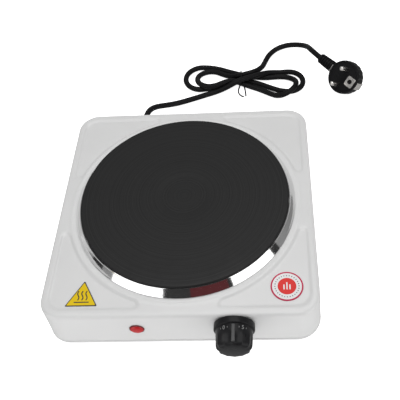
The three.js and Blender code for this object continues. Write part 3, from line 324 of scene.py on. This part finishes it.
# ----------------------------------------------------------------------------------------
# Cord
# ----------------------------------------------------------------------------------------
def fold(x, y, radius, start, end, heights, steps=8):
    """An arc of the cord from heading start to end, with heights spread evenly along it."""
    points = []
    for i in range(steps + 1):
        t = i / steps
        angle = math.radians(start + (end - start) * t)
        place = t * (len(heights) - 1)
        k = min(int(place), len(heights) - 2)
        z = heights[k] + (heights[k + 1] - heights[k]) * (place - k)
        points.append((x + radius * math.cos(angle), y + radius * math.sin(angle), z))
    return points


CORD_RADIUS = 3.1
LOW = CORD_RADIUS                        # height of a strand that lies on the table
WALL_EXIT = (-56, 115, 22)               # where the cord leaves the back wall
LEAD = [(-56, 98, 22), (-56, 116, 22), (-56, 132, 22), (-56, 139, 22), (-55.6, 146.2, 21.6),
        (-54.2, 153.8, 19.8), (-51.6, 161.4, 16.4), (-47.3, 168, 12.4), (-41.4, 173.3, 8.6),
        (-34.3, 177.7, 5.7), (-26.6, 181.5, 3.9), (-18.5, 185, 3.2), (-10.3, 188.2, LOW),
        (-2.1, 191.4, LOW), (6.1, 194.7, LOW), (14.2, 197.9, LOW)]
OVER_WAIST = [(22, 200.9, 3.8), (30, 203.2, 6.2), (38, 205.7, 9.2), (46, 208.6, 11.2),
              (54, 211.9, 11.2), (62, 215.6, 10.5), (70, 219.8, 9.2), (78, 224.2, 7.0),
              (85.5, 227.1, 4.6), (92.5, 228.5, LOW)]
OUTER_RIGHT = fold(101.5, 212.2, 16.9, 96, -98, [LOW, LOW])
BACK_LEFT = [(91.5, 197.2, LOW), (84, 200.6, LOW), (76.5, 204.8, LOW), (69, 208.9, LOW),
             (61.5, 212.5, LOW), (54, 214.9, LOW), (46, 216.4, LOW), (38, 215.8, LOW),
             (30, 212.6, LOW), (22, 208.4, LOW), (14, 205.8, LOW)]
OUTER_LEFT = fold(-0.3, 223.1, 19.4, -72, -284, [LOW, LOW])
BACK_RIGHT = [(12.5, 240.4, LOW), (20.5, 237.8, LOW), (28.5, 234.2, LOW), (36.5, 230.6, LOW),
              (44.5, 227.4, LOW), (52.5, 224.6, LOW), (60.5, 222.3, LOW), (68.5, 220.8, LOW),
              (76.5, 220.2, LOW), (84.5, 220.6, LOW)]
INNER_RIGHT = fold(93.4, 204.2, 16.6, 93, -112,
                   [LOW, 3.2, 4.4, 6.8, 9.0, 9.5, 8.2, 5.6, 3.6])
LEFT_AGAIN = [(80.5, 192.4, LOW), (73.5, 196.8, LOW), (66, 201.3, LOW), (58.5, 205.2, LOW),
              (51, 208.6, 3.8), (43.5, 210.7, 5.7), (36, 210.9, 8.3), (28.5, 208.3, 9.5),
              (22.5, 205.4, 9.5)]
INNER_LEFT = fold(11, 217.8, 16.2, -70, -290, [9.5, 9.3, 8.0, 5.6, 3.6, LOW])
RIGHT_AGAIN = [(23.5, 229.2, LOW), (30.5, 225.4, 3.5), (37.5, 222.3, 5.2), (44.5, 221.0, 7.3),
               (51, 221.1, 9.0)]
TAIL = [(57.2, 222.8, 9.3), (63, 226.2, 8.6), (67.8, 231.3, 7.2), (71.4, 237.8, 5.4),
        (73.9, 245, 4.0), (76.2, 252.3, 3.2), (79.2, 259.4, LOW), (83.6, 265.8, 3.3),
        (89.5, 270.9, 3.9), (96.6, 273.9, 4.8), (104.2, 274.6, 6.1), (111.6, 272.6, 7.9),
        (118, 268.6, 10.4), (122.6, 262.9, 13.7), (125.6, 256.4, 17.3), (127.5, 249.6, 20.5),
        (129.6, 242.6, 23.0), (132.7, 235.8, 24.4), (136.9, 229.3, 24.5),
        (141.17, 224.5, 23.73)]
ROUTE = (LEAD + OVER_WAIST + OUTER_RIGHT + BACK_LEFT + OUTER_LEFT + BACK_RIGHT + INNER_RIGHT
         + LEFT_AGAIN + INNER_LEFT + RIGHT_AGAIN + TAIL)


def smooth_path(points, steps=5):
    """Points along a centripetal Catmull-Rom curve through the given ones."""
    given = [Vector(p) for p in points]
    given = [2 * given[0] - given[1], *given, 2 * given[-1] - given[-2]]
    path = []
    for p0, p1, p2, p3 in zip(given, given[1:], given[2:], given[3:]):
        d0, d1, d2 = (math.sqrt((b - a).length) for a, b in ((p0, p1), (p1, p2), (p2, p3)))
        start = ((p1 - p0) / d0 - (p2 - p0) / (d0 + d1) + (p2 - p1) / d1) * d1
        end = ((p2 - p1) / d1 - (p3 - p1) / (d1 + d2) + (p3 - p2) / d2) * d1
        for i in range(steps):
            t = i / steps
            path.append(p1 * (2 * t ** 3 - 3 * t ** 2 + 1) + start * (t ** 3 - 2 * t ** 2 + t)
                        + p2 * (3 * t ** 2 - 2 * t ** 3) + end * (t ** 3 - t ** 2))
    path.append(given[-2])
    return path


def tube(name, points, radius, look, sides=6):
    """A round curve along a path in part millimetres."""
    data = bpy.data.curves.new(name, "CURVE")
    data.dimensions = "3D"
    data.bevel_depth = radius * MM
    data.bevel_resolution = sides
    data.use_fill_caps = True
    spline = data.splines.new("POLY")
    spline.points.add(len(points) - 1)
    for target, point in zip(spline.points, points):
        target.co = (*at(*point), 1)
    data.materials.append(look)
    obj = bpy.data.objects.new(name, data)
    bpy.context.scene.collection.objects.link(obj)
    bpy.context.view_layer.update()
    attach(obj, "base")
    return obj


cord = tube("mains_cord", smooth_path(ROUTE), CORD_RADIUS, CORD_BLACK)
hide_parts("cord_lead", "cord_hank", "cord_tail")


def strain_relief():
    """Segmented sleeve that tapers along the cord where it leaves the back wall."""
    low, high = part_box("strain_relief")
    wall = WALL_EXIT[1]
    outer = (high[1] - SHIFT) / MM - wall
    inner = (low[1] - SHIFT) / MM - wall
    bore = 3.15
    profile = [(bore, inner), (5.0, inner), (5.0, -0.8), (6.6, -0.2), (6.6, 1.2), (6.0, 1.8)]
    ribs = 6
    start = 2.4
    pitch = (outer - start - 1.5) / ribs
    for i in range(ribs):
        z = start + i * pitch
        r = 6.0 - 1.5 * (i + 0.5) / ribs
        profile += [(r - 0.7, z), (r - 0.7, z + 0.3 * pitch), (r, z + 0.36 * pitch),
                    (r - 0.05, z + 0.92 * pitch)]
    profile += [(4.2, outer - 1.2), (4.1, outer - 0.4), (3.6, outer), (bore, outer)]
    vertices, faces = lathe(profile[::-1], 32)
    place = frame_at(at(*WALL_EXIT), -FRONT, UP)
    sleeve = new_piece("relief_sleeve", vertices, faces, CORD_BLACK, place=place)
    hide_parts("strain_relief")
    return sleeve


RELIEF = strain_relief()


# ----------------------------------------------------------------------------------------
# Plug and twist tie
# ----------------------------------------------------------------------------------------
PLUG_FACE = (161, 191, 25.66)     # middle of the face the pins stand on
PLUG_TILT = 39                    # degrees that the pins point up
PLUG_HEADING = 230
BOOT_HEADING = 124
BOOT_BACK = 11.25                 # from the face back to the middle of the boot
PIN_SIDE = 9.5                    # from the middle of the face to a pin
EARTH_SIDE = -10                  # along X, to the middle of the earth plate
PLUG_RIBS = 18
RIB_DEPTH = 0.7
TIE_RADIUS = 0.8


def plug_frames():
    """Placements of the plug (Z along the pins, X towards the boot) and of its boot."""
    tilt, turn, boot = (math.radians(a) for a in (PLUG_TILT, PLUG_HEADING, BOOT_HEADING))
    pins = Vector((math.cos(tilt) * math.cos(turn), math.cos(tilt) * math.sin(turn),
                   math.sin(tilt)))
    flat = Vector((math.cos(boot), math.sin(boot), 0))
    exit_axis = (flat - pins * flat.dot(pins)).normalized()
    side = pins.cross(exit_axis)
    face = at(*PLUG_FACE)
    plug = Matrix.Translation(face) @ Matrix((exit_axis, side, pins)).transposed().to_4x4()
    return plug, frame_at(face - pins * BOOT_BACK * MM, exit_axis, pins)


def holed_plate(name, half_x, half_y, hole, bottom, top, look, place):
    """A plate with a squarish outline and a round hole."""
    count = 48
    rim, bore = [], []
    for j in range(count):
        angle = 2 * math.pi * j / count
        c, s = math.cos(angle), math.sin(angle)
        reach = (abs(c / half_x) ** 6 + abs(s / half_y) ** 6) ** (-1 / 6)
        rim.append((reach * c, reach * s))
        bore.append((hole * c, hole * s))
    rings = []
    for outline, z in ((bore, bottom), (rim, bottom), (rim, top - 0.3), (rim, top),
                       (bore, top), (bore, top - 0.3)):
        shrink = 0.96 if outline is rim and z == top else 1
        rings.append([(x * shrink * MM, y * shrink * MM, z * MM) for x, y in outline])
    vertices, faces = rings_mesh(rings, close=True)
    return new_piece(name, vertices, faces, look, place=place)


def plug():
    """Shell, boot, earth plate and pins."""
    place, boot_place = plug_frames()
    profile = [(0, -25), (10.5, -25), (13, -24.2), (15.2, -22), (16.8, -18.5), (17.9, -15),
               (18.4, -12), (18.5, -9.5), (18.5, -2.4), (18.3, -1), (17.9, -0.2), (17.2, 0),
               (16.2, 0), (15.9, -0.4), (15.3, -0.4), (15, 0), (0, 0)]
    ribbed = range(3, 8)          # the rings that carry the ribs

    def ribs(angle, index):
        return RIB_DEPTH * max(0, math.sin(PLUG_RIBS * angle)) if index in ribbed else 0

    vertices, faces = lathe(profile, 216, ribs)
    body = new_piece("plug_shell", vertices, faces, CORD_BLACK, place=place)
    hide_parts("plug_body")
    boot = [(0, 14), (8.4, 14), (7.6, 17), (7.2, 20)]
    for i in range(6):
        z = 21 + i * 3.1
        r = 6.5 - 0.14 * i
        boot += [(r - 1, z), (r - 1, z + 0.9), (r, z + 1.1), (r - 0.05, z + 2.9)]
    boot += [(5.0, 40), (4.6, 41), (0, 41)]
    vertices, faces = lathe(boot, 48)
    sleeve = new_piece("plug_boot", vertices, faces, CORD_BLACK,
                       place=boot_place)
    earth = holed_plate("plug_earth_plate", 5.2, 5.8, 2.6, -0.3, 0.7, NICKEL,
                        place @ Matrix.Translation((EARTH_SIDE * MM, 0, 0)))
    pieces = [body, sleeve, earth]
    for number, side in ((1, 1), (2, -1)):
        pin = [(0, -7.6), (2.4, -7.6), (2.4, 16.6), (2.3, 17.6), (1.9, 18.5), (1.1, 19),
               (0, 19)]
        vertices, faces = lathe(pin, 40)
        blade = new_piece(f"plug_prong_{number}", vertices, faces, NICKEL,
                          place=place @ Matrix.Translation((0, side * PIN_SIDE * MM, 0)))
        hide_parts(f"plug_pin_{number}")
        pieces.append(blade)
    return pieces


def twist_tie():
    """A wire arched over the waist of the hank, and its free end."""
    loop = [(49.2, 191.6, 0.9), (46.4, 193.2, 0.9), (43.8, 196.4, 1.2), (43.0, 200.0, 2.6),
            (44.6, 203.6, 6.2), (46.2, 206.0, 11.0), (46.8, 208.6, 14.0), (46.8, 212, 14.9),
            (46.6, 217, 14.6), (46.4, 222, 12.2), (46.2, 226.6, 9.0), (46.1, 229.6, 5.0),
            (46.1, 230.2, 0.9)]
    end = [(51.6, 192.6, 0.9), (51.4, 196.4, 1.1), (50.8, 200.4, 2.8), (49.8, 203.8, 6.4)]
    first = tube("tie_loop", smooth_path(loop), TIE_RADIUS, CORD_BLACK, 3)
    second = tube("tie_end", smooth_path(end), TIE_RADIUS, CORD_BLACK, 3)
    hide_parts("twist_tie")
    return [first, second]


PLUG_PIECES = plug() + twist_tie()


# ----------------------------------------------------------------------------------------
# Housing
# ----------------------------------------------------------------------------------------
HALF = 113.8          # walls, just under the top edge
CORNER = 19.0
TOP = 55.0
BOTTOM = 14.2
EDGE = 5.0
FULLNESS = 2 / 3      # below 1 the edge is fuller than a circle
FLARE = 2.0
OPENING = 86.0
RING = 103.5          # raised ring round the plate
PANEL_SIDE = 108.0
PANEL_FRONT = 107.0
PANEL_TIP = 31.0
PANEL_WAIST = 30.0
PANEL_CORNER = 13.0
PANEL_DEPTH = 1.3
PANEL_SLOPE = 2.6     # width of the slope down into a panel
OUTER_BLEND = 1.5     # how softly the panel's long edges meet
TIP_BLEND = 5
BEAD_HEIGHT = 0.45
BEAD_WIDTH = 1.6
BEAD_INSET = 1.2      # from the edge of the raised ring to the crest of its bead
SHEET = 0.9
TURNS = 480
TOP_STEPS = 44
EDGE_STEPS = 10
HEM = [(1.88, 3.0), (1.45, 2.75), (1.5, 2.5), (2.1, 2.2), (2.25, 1.6), (2.25, 0.4),
       (1.95, 0), (1.2, 0)]          # out from the wall, up from its lower edge


def outline_radius(angle, half, corner):
    """Distance from the middle to a rounded square, along an angle."""
    c, s = abs(math.cos(angle)), abs(math.sin(angle))
    reach = half / max(c, s)
    straight = half - corner
    if min(c, s) * reach <= straight:
        return reach
    dot = straight * (c + s)
    return dot + math.sqrt(max(0.0, dot * dot - 2 * straight * straight + corner * corner))


def soft_max(a, b, blend):
    """The larger of two values, rounded off where they are within blend."""
    h = max(blend - abs(a - b), 0) / blend
    return max(a, b) + h * h * blend / 4


def panel_depth(x, y):
    """How far the top sheet is pressed down at a place."""
    a, b = abs(x), abs(y)
    dx = a - (PANEL_SIDE - PANEL_CORNER)
    dy = b - (PANEL_FRONT - PANEL_CORNER)
    outer = math.hypot(max(dx, 0), max(dy, 0)) + min(max(dx, dy), 0) - PANEL_CORNER
    edge = soft_max(RING - math.hypot(a, b), outer, OUTER_BLEND)
    edge = soft_max(edge, PANEL_TIP - a, TIP_BLEND)
    edge = soft_max(edge, PANEL_WAIST - b, TIP_BLEND)
    t = min(max(-edge / PANEL_SLOPE, 0), 1)
    return PANEL_DEPTH * t * t * (3 - 2 * t)


def ring_bead(x, y):
    """A low bead along the rim of the raised ring."""
    off = (math.hypot(x, y) - (RING - BEAD_INSET)) / BEAD_WIDTH
    return BEAD_HEIGHT * math.exp(-off * off)


def housing():
    """Top sheet, rounded edge, walls and hem as one sheet."""
    angles = [2 * math.pi * j / TURNS for j in range(TURNS)]
    flat = [outline_radius(a, HALF - EDGE, CORNER - EDGE) for a in angles]
    rings = []
    for i in range(TOP_STEPS + 1):
        s = i / TOP_STEPS
        ring = []
        for a, limit in zip(angles, flat):
            r = OPENING + (limit - OPENING) * s
            x, y = r * math.cos(a), r * math.sin(a)
            ring.append((x * MM, y * MM, (TOP - panel_depth(x, y) + ring_bead(x, y)) * MM))
        rings.append(ring)
    levels = []
    for i in range(1, EDGE_STEPS + 1):
        bend = math.pi / 2 * i / EDGE_STEPS
        levels.append((-EDGE * (1 - math.sin(bend) ** FULLNESS),
                       TOP - EDGE * (1 - math.cos(bend) ** FULLNESS)))
    for z in (46, 42, 36, 30, 25, 21, 18):
        levels.append((FLARE * (TOP - EDGE - z) / (TOP - EDGE - BOTTOM), z))
    levels += [(out, BOTTOM + rise) for out, rise in HEM]
    for out, z in levels:
        ring = []
        for a in angles:
            r = outline_radius(a, HALF + out, CORNER + out)
            ring.append((r * math.cos(a) * MM, r * math.sin(a) * MM, z * MM))
        rings.append(ring)
    vertices, faces = rings_mesh(rings[::-1])
    shell = new_piece("housing_shell", vertices, faces, ENAMEL,
                      place=Matrix.Translation(at(0, 0, 0)))
    shell.data.shade_smooth()
    sheet = shell.modifiers.new("sheet", "SOLIDIFY")
    sheet.thickness = SHEET * MM
    sheet.offset = -1
    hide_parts("housing")


housing()


# ----------------------------------------------------------------------------------------
# Heating plate and trim ring
# ----------------------------------------------------------------------------------------
def heating_plate():
    """Cast plate with a shallow dish, and the rims underneath that hold the coil."""
    low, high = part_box("heating_plate")
    top = high[2] / MM
    under = low[2] / MM
    profile = [(0, top - 0.36), (12, top - 0.36), (19, top - 0.34), (22, top - 0.26),
               (24.2, top - 0.1), (26, top), (40, top), (60, top), (80, top),
               (90.8, top - 0.02), (91.6, top - 0.1), (92.2, top - 0.35), (92.5, top - 0.8),
               (92.5, top - 8), (84, top - 8), (84, under), (80, under), (80, under + 8),
               (46, under + 8), (46, under), (3.3, under), (3.3, under + 7), (0, under + 7)]
    vertices, faces = lathe(profile, 240)
    plate = new_piece("plate_casting", vertices, faces, IRON,
                      place=Matrix.Translation(at(0, 0, 0)))
    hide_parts("heating_plate")


def trim_ring():
    """A leaning band from the housing up to the edge of the plate."""
    foot = 55.3
    profile = [(88.5, foot), (98.1, foot), (98.25, foot + 0.1), (98.25, foot + 0.6),
               (97.9, foot + 1.0), (97.4, 57.05), (95.6, 59.45), (94.1, 61.3), (93.85, 61.7),
               (93.6, 62.3), (93.25, 62.6), (92.9, 62.5), (92.85, 62.1), (93.1, 61.3),
               (94.6, 59.3), (96.4, 57.0), (96.9, foot + 0.9), (88.5, foot + 0.7)]
    vertices, faces = lathe(profile[::-1], 300)
    ring = new_piece("trim_band", vertices, faces, POLISHED,
                     place=Matrix.Translation(at(0, 0, 0)))
    ring.data.shade_smooth()
    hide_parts("trim_ring")


heating_plate()
trim_ring()


# ----------------------------------------------------------------------------------------
# Knob and pilot lamp
# ----------------------------------------------------------------------------------------
KNOB_X = 44.6
KNOB_Z = 42.0
DIAL_STEP = 60.0      # degrees from one number to the next
DIAL_RADIUS = 14.85
DIAL_HEIGHT = 8.6     # from the back of the knob
FLUTES = 6            # pairs of flutes
FLUTE_DEPTH = 1.15
KNOB_PROFILE = [      # radius, distance from the back, share of the flutes
    (0, 15.3, 0), (3.4, 15.3, 0), (3.4, 0.2, 0), (5.2, 0.2, 0), (5.2, 3.4, 0), (14.6, 3.4, 0),
    (14.6, 0.3, 0), (14.9, 0, 0), (16.2, 0, 0), (16.6, 0.5, 0), (16.6, 4.9, 0), (16.4, 5.4, 0),
    (15.9, 5.75, 0), (15.1, 5.9, 0), (14.9, 6.3, 0), (14.85, 7.0, 0), (14.8, 10, 0),
    (14.75, 11.5, 0.15), (14.7, 13, 0.6), (14.6, 14.5, 0.95), (14.5, 17, 1), (14.3, 19, 1),
    (13.9, 20.3, 0.95), (13.2, 21.3, 0.8), (12.2, 22.0, 0.5), (10.4, 22.5, 0.15),
    (7, 22.8, 0), (3, 22.95, 0), (0, 23, 0)]


def knob():
    """Grip with its pointer, numbers 0 to 5 and ticks."""
    back = (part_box("knob")[1][1] - SHIFT) / MM
    place = frame_at(at(KNOB_X, back, KNOB_Z), FRONT, UP)
    shares = [share for _, _, share in KNOB_PROFILE[1:-1]]

    def flutes(angle, index):
        return FLUTE_DEPTH * shares[index] * abs(math.sin(FLUTES * angle)) ** 0.9

    vertices, faces = lathe([(r, z) for r, z, _ in KNOB_PROFILE], 288, flutes)
    grip = new_piece("knob_grip", vertices, [f[::-1] for f in faces], KNOB_BLACK,
                     "control_knob", place)
    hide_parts("knob")
    rounded_box("knob_pointer", (2.8, 1.6, 14.5), 0.5, RIDGE_GREY,
                "control_knob", place @ Matrix.Translation((0, 14.4 * MM, 13.4 * MM)))
    for i in range(6):
        turn = Matrix.Rotation(math.radians((i + 0.5) * DIAL_STEP), 4, "Z")
        dial_number(str(i), place @ turn)
        for part in (-1, 1):
            mark = Matrix.Translation((0, DIAL_RADIUS * MM, DIAL_HEIGHT * MM))
            side = Matrix.Rotation(math.radians(part * DIAL_STEP / 5), 4, "Z")
            rounded_box(f"dial_tick_{i}_{part + 1}", (0.4, 0.3, 1.2), 0.1, MARK_GREY,
                        "control_knob", place @ turn @ side @ mark)


def dial_number(text, place):
    """A raised number on the grip, read from the front."""
    data = bpy.data.curves.new(f"dial_number_{text}", "FONT")
    data.body = text
    data.size = 4.6 * MM
    data.extrude = 0.05 * MM
    data.align_x = "CENTER"
    data.align_y = "CENTER"
    data.materials.append(MARK_GREY)
    obj = bpy.data.objects.new(f"dial_number_{text}", data)
    bpy.context.scene.collection.objects.link(obj)
    lie = Matrix(((-1, 0, 0, 0), (0, 0, 1, (DIAL_RADIUS + 0.05) * MM),
                  (0, 1, 0, DIAL_HEIGHT * MM), (0, 0, 0, 1)))
    obj.matrix_world = place @ lie @ Matrix.Rotation(math.pi, 4, "Z")
    bpy.context.view_layer.update()
    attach(obj, "control_knob")


def rounded_box(name, size, edge, look, body, place):
    """A box with bevelled edges, size in part millimetres."""
    x, y, z = (value / 2 * MM for value in size)
    corners = [(a * x, b * y, c * z) for c in (-1, 1) for b in (-1, 1) for a in (-1, 1)]
    faces = [(0, 2, 3, 1), (4, 5, 7, 6), (0, 1, 5, 4), (2, 6, 7, 3), (0, 4, 6, 2), (1, 3, 7, 5)]
    obj = new_piece(name, corners, faces, look, body, place, smooth=False)
    bevel = obj.modifiers.new("edge", "BEVEL")
    bevel.width = edge * MM
    bevel.segments = 3
    return obj


LAMP_WALL = -113.9    # face of the front wall at the lamp, along Y


def pilot_lamp():
    """A red dome and the rim round it."""
    low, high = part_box("lamp_lens")
    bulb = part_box("neon_bulb")
    x = (low[0] + high[0]) / 2
    z = (low[2] + high[2]) / 2
    back = LAMP_WALL - (high[1] - SHIFT) / MM
    hollow = (bulb[1][0] - bulb[0][0]) / 2 / MM + 0.35
    place = frame_at((x, LAMP_WALL * MM + SHIFT, z), FRONT, UP)
    lens = [(0, 0.6), (hollow, 0.4), (hollow, back), (4.55, back), (4.55, 0.0), (5.6, 0.5),
            (5.55, 1.1), (5.2, 1.7), (4.5, 2.2), (3.2, 2.6), (1.6, 2.8), (0, 2.85)]
    vertices, faces = lathe(lens, 64)
    dome = new_piece("lamp_dome", vertices, [f[::-1] for f in faces], LAMP_RED,
                     place=place)
    rim = [(5.7, 0.25), (6.2, 0.25), (6.25, 0.9), (6.0, 1.3), (5.75, 1.3)]
    vertices, faces = lathe(rim, 64)
    new_piece("lamp_bezel", vertices, [f[::-1] for f in faces], LAMP_RIM,
              place=place)
    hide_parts("lamp_lens")


knob()
pilot_lamp()


# ----------------------------------------------------------------------------------------
# Labels
# ----------------------------------------------------------------------------------------
def plaque(name, points, bottom, top, look):
    """A flat plate from an outline, anticlockwise, in part millimetres."""
    count = len(points)
    vertices = [tuple(at(x, y, bottom)) for x, y in points]
    vertices += [tuple(at(x, y, top)) for x, y in points]
    faces = [tuple(range(count))[::-1], tuple(range(count, 2 * count))]
    faces += [(j, (j + 1) % count, count + (j + 1) % count, count + j) for j in range(count)]
    return new_piece(name, vertices, faces, look, smooth=False)


def circle_points(x, y, radius, count=72):
    return [(x + radius * math.cos(2 * math.pi * j / count),
             y + radius * math.sin(2 * math.pi * j / count)) for j in range(count)]


def ribbon_points(path, half):
    """Outline of a line of even width along a path."""
    left, right = [], []
    for j, (x, y) in enumerate(path):
        ahead = path[min(j + 1, len(path) - 1)]
        behind = path[max(j - 1, 0)]
        along = Vector((ahead[0] - behind[0], ahead[1] - behind[1])).normalized()
        left.append((x - along.y * half, y + along.x * half))
        right.append((x + along.y * half, y - along.x * half))
    return right + left[::-1]


def triangle_points(x, y, side, corner):
    """A triangle that points away from the user, with rounded corners."""
    reach = side / math.sqrt(3) - 2 * corner
    points = []
    for heading in (-150, -30, 90):
        cx = x + reach * math.cos(math.radians(heading))
        cy = y + reach * math.sin(math.radians(heading))
        for i in range(7):
            turn = math.radians(heading - 60 + 20 * i)
            points.append((cx + corner * math.cos(turn), cy + corner * math.sin(turn)))
    return points


LABEL_LINE = 0.45     # half the width of the lines on the heat label
LABEL_DOTS = 28


def heat_label():
    """A yellow triangle with three wavy lines over a straight one."""
    low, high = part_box("heat_label")
    x = (low[0] + high[0]) / 2 / MM
    y = (low[1] + (high[0] - low[0]) / math.sqrt(12) - SHIFT) / MM
    base = low[2] / MM
    top = high[2] / MM
    side = (high[0] - low[0]) / MM
    border = plaque("heat_label_border", triangle_points(x, y, side, 0.5), base, top, INK)
    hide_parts("heat_label")
    plaque("heat_label_field", triangle_points(x, y, side - 2.6, 0.4), top + 0.01, top + 0.07,
           YELLOW)
    for i in range(3):
        path = []
        for j in range(17):
            t = j / 16
            path.append((x + (i - 1) * 3.4 + 0.8 * math.sin(2 * math.pi * t), y - 2.4 + 8.4 * t))
        plaque(f"heat_label_wave_{i + 1}", ribbon_points(path, LABEL_LINE), top + 0.08, top + 0.13,
               INK)
    path = [(x - 6.2, y - 4.2), (x, y - 4.2), (x + 6.2, y - 4.2)]
    plaque("heat_label_line", ribbon_points(path, LABEL_LINE), top + 0.08, top + 0.13, INK)


def rating_label():
    """A round label with a ring of dots round three bars."""
    low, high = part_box("rating_label")
    x = (low[0] + high[0]) / 2 / MM
    y = ((low[1] + high[1]) / 2 - SHIFT) / MM
    radius = (high[0] - low[0]) / 2 / MM
    base, top = low[2] / MM, high[2] / MM
    disc = plaque("round_label_rim", circle_points(x, y, radius), base, top, CRIMSON)
    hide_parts("rating_label")
    plaque("round_label_band", circle_points(x, y, radius - 1.2), top + 0.01, top + 0.06, WHITE)
    plaque("round_label_disc", circle_points(x, y, radius * 0.57), top + 0.07, top + 0.12,
           RED)
    for i in range(LABEL_DOTS):
        heading = 2 * math.pi * i / LABEL_DOTS
        spot = circle_points(x + (radius - 3.5) * math.cos(heading),
                             y + (radius - 3.5) * math.sin(heading), 0.45, 10)
        plaque(f"round_label_dot_{i + 1}", spot, top + 0.07, top + 0.1, INK)
    for i, (dx, height) in enumerate(((-2.4, 4.5), (0, 6.5), (2.4, 4.5))):
        bar = ribbon_points([(x + dx, y - 3), (x + dx, y - 3 + height)], 0.55)
        plaque(f"round_label_bar_{i + 1}", bar, top + 0.13, top + 0.17, WHITE)


heat_label()
rating_label()


# ----------------------------------------------------------------------------------------
# CAD nodes that are shown as they are
# ----------------------------------------------------------------------------------------
LOOKS = {
    "foot_screw": ZINC, "foot": RUBBER, "bottom_cover": ZINC, "heating_coil": ZINC,
    "coil_filler": CERAMIC, "plate_shield": ZINC, "plate_stud": ZINC, "clamp": ZINC,
    "plate_terminal_block": CERAMIC, "plate_terminal": BRASS, "knob_spring_clip": ZINC,
    "thermostat_body": CERAMIC, "thermostat_terminal": BRASS, "thermostat_bushing": BRASS,
    "thermostat": ZINC, "bimetal_blade": BRASS, "contact": BRASS, "neon_bulb": GLASS,
    "lamp_retainer": ZINC, "plug_earth": NICKEL, "terminal_block": CERAMIC,
    "live_wire": WIRE_BROWN, "switched_wire": WIRE_BROWN, "neutral_wire": WIRE_BLUE,
    "earth_wire": WIRE_GREEN, "lamp_wire": WIRE_BLUE, "earth": BRASS,
}


def dress_cad():
    """Gives each CAD node the look of the longest name in LOOKS that it starts with."""
    for name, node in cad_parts.items():
        fits = [key for key in LOOKS if name.startswith(key)]
        if not fits:
            continue
        node.data.materials.clear()
        node.data.materials.append(LOOKS[max(fits, key=len)])


dress_cad()


# ----------------------------------------------------------------------------------------
# Stage
# ----------------------------------------------------------------------------------------
CARD_RADIUS = 1.3
FLOOR_REACH = 6.0
FLOOR_DROP = -0.0004


def glow(name, colour, strength, albedo):
    """A matt surface that gives off light of its own."""
    graph = Graph(name)
    graph.set(Base_Color=(*albedo, 1), Roughness=0.9)
    graph.shader.inputs["Emission Color"].default_value = (*colour, 1)
    graph.shader.inputs["Emission Strength"].default_value = strength
    return graph.material


def stage_mesh(name, vertices, faces, look):
    mesh = bpy.data.meshes.new(name)
    mesh.from_pydata(vertices, [], faces)
    mesh.materials.append(look)
    obj = bpy.data.objects.new(name, mesh)
    bpy.context.scene.collection.objects.link(obj)
    return obj


def card(name, start, end, bottom, top, look, radius=CARD_RADIUS):
    """A curved screen that only reflections see. Headings are from the front, towards the
    right."""
    steps = 8
    vertices = []
    for i in range(steps + 1):
        heading = math.radians(start + (end - start) * i / steps)
        x, y = radius * math.sin(heading), -radius * math.cos(heading)
        vertices += [(x, y, bottom), (x, y, top)]
    faces = [(2 * i, 2 * i + 2, 2 * i + 3, 2 * i + 1) for i in range(steps)]
    screen = stage_mesh(name, vertices, faces, look)
    screen.visible_camera = False
    screen.visible_diffuse = False
    screen.visible_shadow = False


def area_light(name, place, aim, size, power):
    data = bpy.data.lights.new(name, "AREA")
    data.shape = "SQUARE"
    data.size = size
    data.energy = power
    obj = bpy.data.objects.new(name, data)
    obj.location = place
    obj.rotation_euler = (Vector(aim) - Vector(place)).to_track_quat("-Z", "Y").to_euler()
    bpy.context.scene.collection.objects.link(obj)
    return obj


def build_stage():
    """Floor, reflection screens, light and world."""
    white = glow("floor_white", (1, 1, 1), 0.95, (0.80, 0.80, 0.80))
    corners = [(x * FLOOR_REACH, y * FLOOR_REACH, FLOOR_DROP)
               for x, y in ((-1, -1), (1, -1), (1, 1), (-1, 1))]
    floor = stage_mesh("floor", corners, [(0, 1, 2, 3)], white)
    floor.visible_glossy = False
    bright = glow("card_bright", (1, 1, 1), 1.15, (0.5, 0.5, 0.5))
    grey = glow("card_grey", (1, 1, 1), 0.12, (0.12, 0.12, 0.12))
    warm = glow("card_warm", (1, 0.06, 0.10), 0.05, (0.03, 0.005, 0.006))
    dark = glow("card_dark", (1, 1, 1), 0.0, (0.02, 0.02, 0.02))
    card("card_front", -20, 36.5, -0.4, 1.0, dark)
    card("card_warm", 2, 33, -0.2, 0.46, warm, radius=1.2)
    for name, start, end, bottom, top, look in (
            ("card_right", 36.5, 76.5, -0.4, 1.0, bright),
            ("card_gap_right", 76.5, 84, -0.4, 1.0, dark),
            ("card_side_right", 84, 150, -0.7, 0.8, grey),
            ("card_left", -62.5, -20, -0.4, 1.0, bright),
            ("card_edge_left", -73, -62.5, -0.4, 1.0, grey),
            ("card_gap_left", -84, -73, -0.4, 1.0, dark),
            ("card_side_left", -150, -84, -0.7, 0.8, grey)):
        card(name, start, end, bottom, top, look)
    area_light("overhead", (0.1, 0.05, 1.7), (0.03, 0.03, 0), 1.6, 16.5)
    world = bpy.data.worlds.new("world")
    world.use_nodes = True
    background = world.node_tree.nodes["Background"]
    background.inputs["Color"].default_value = (1, 1, 1, 1)
    background.inputs["Strength"].default_value = 0.47
    scene = bpy.context.scene
    scene.world = world
    scene.view_settings.view_transform = "Standard"
    scene.view_settings.look = "None"


build_stage()
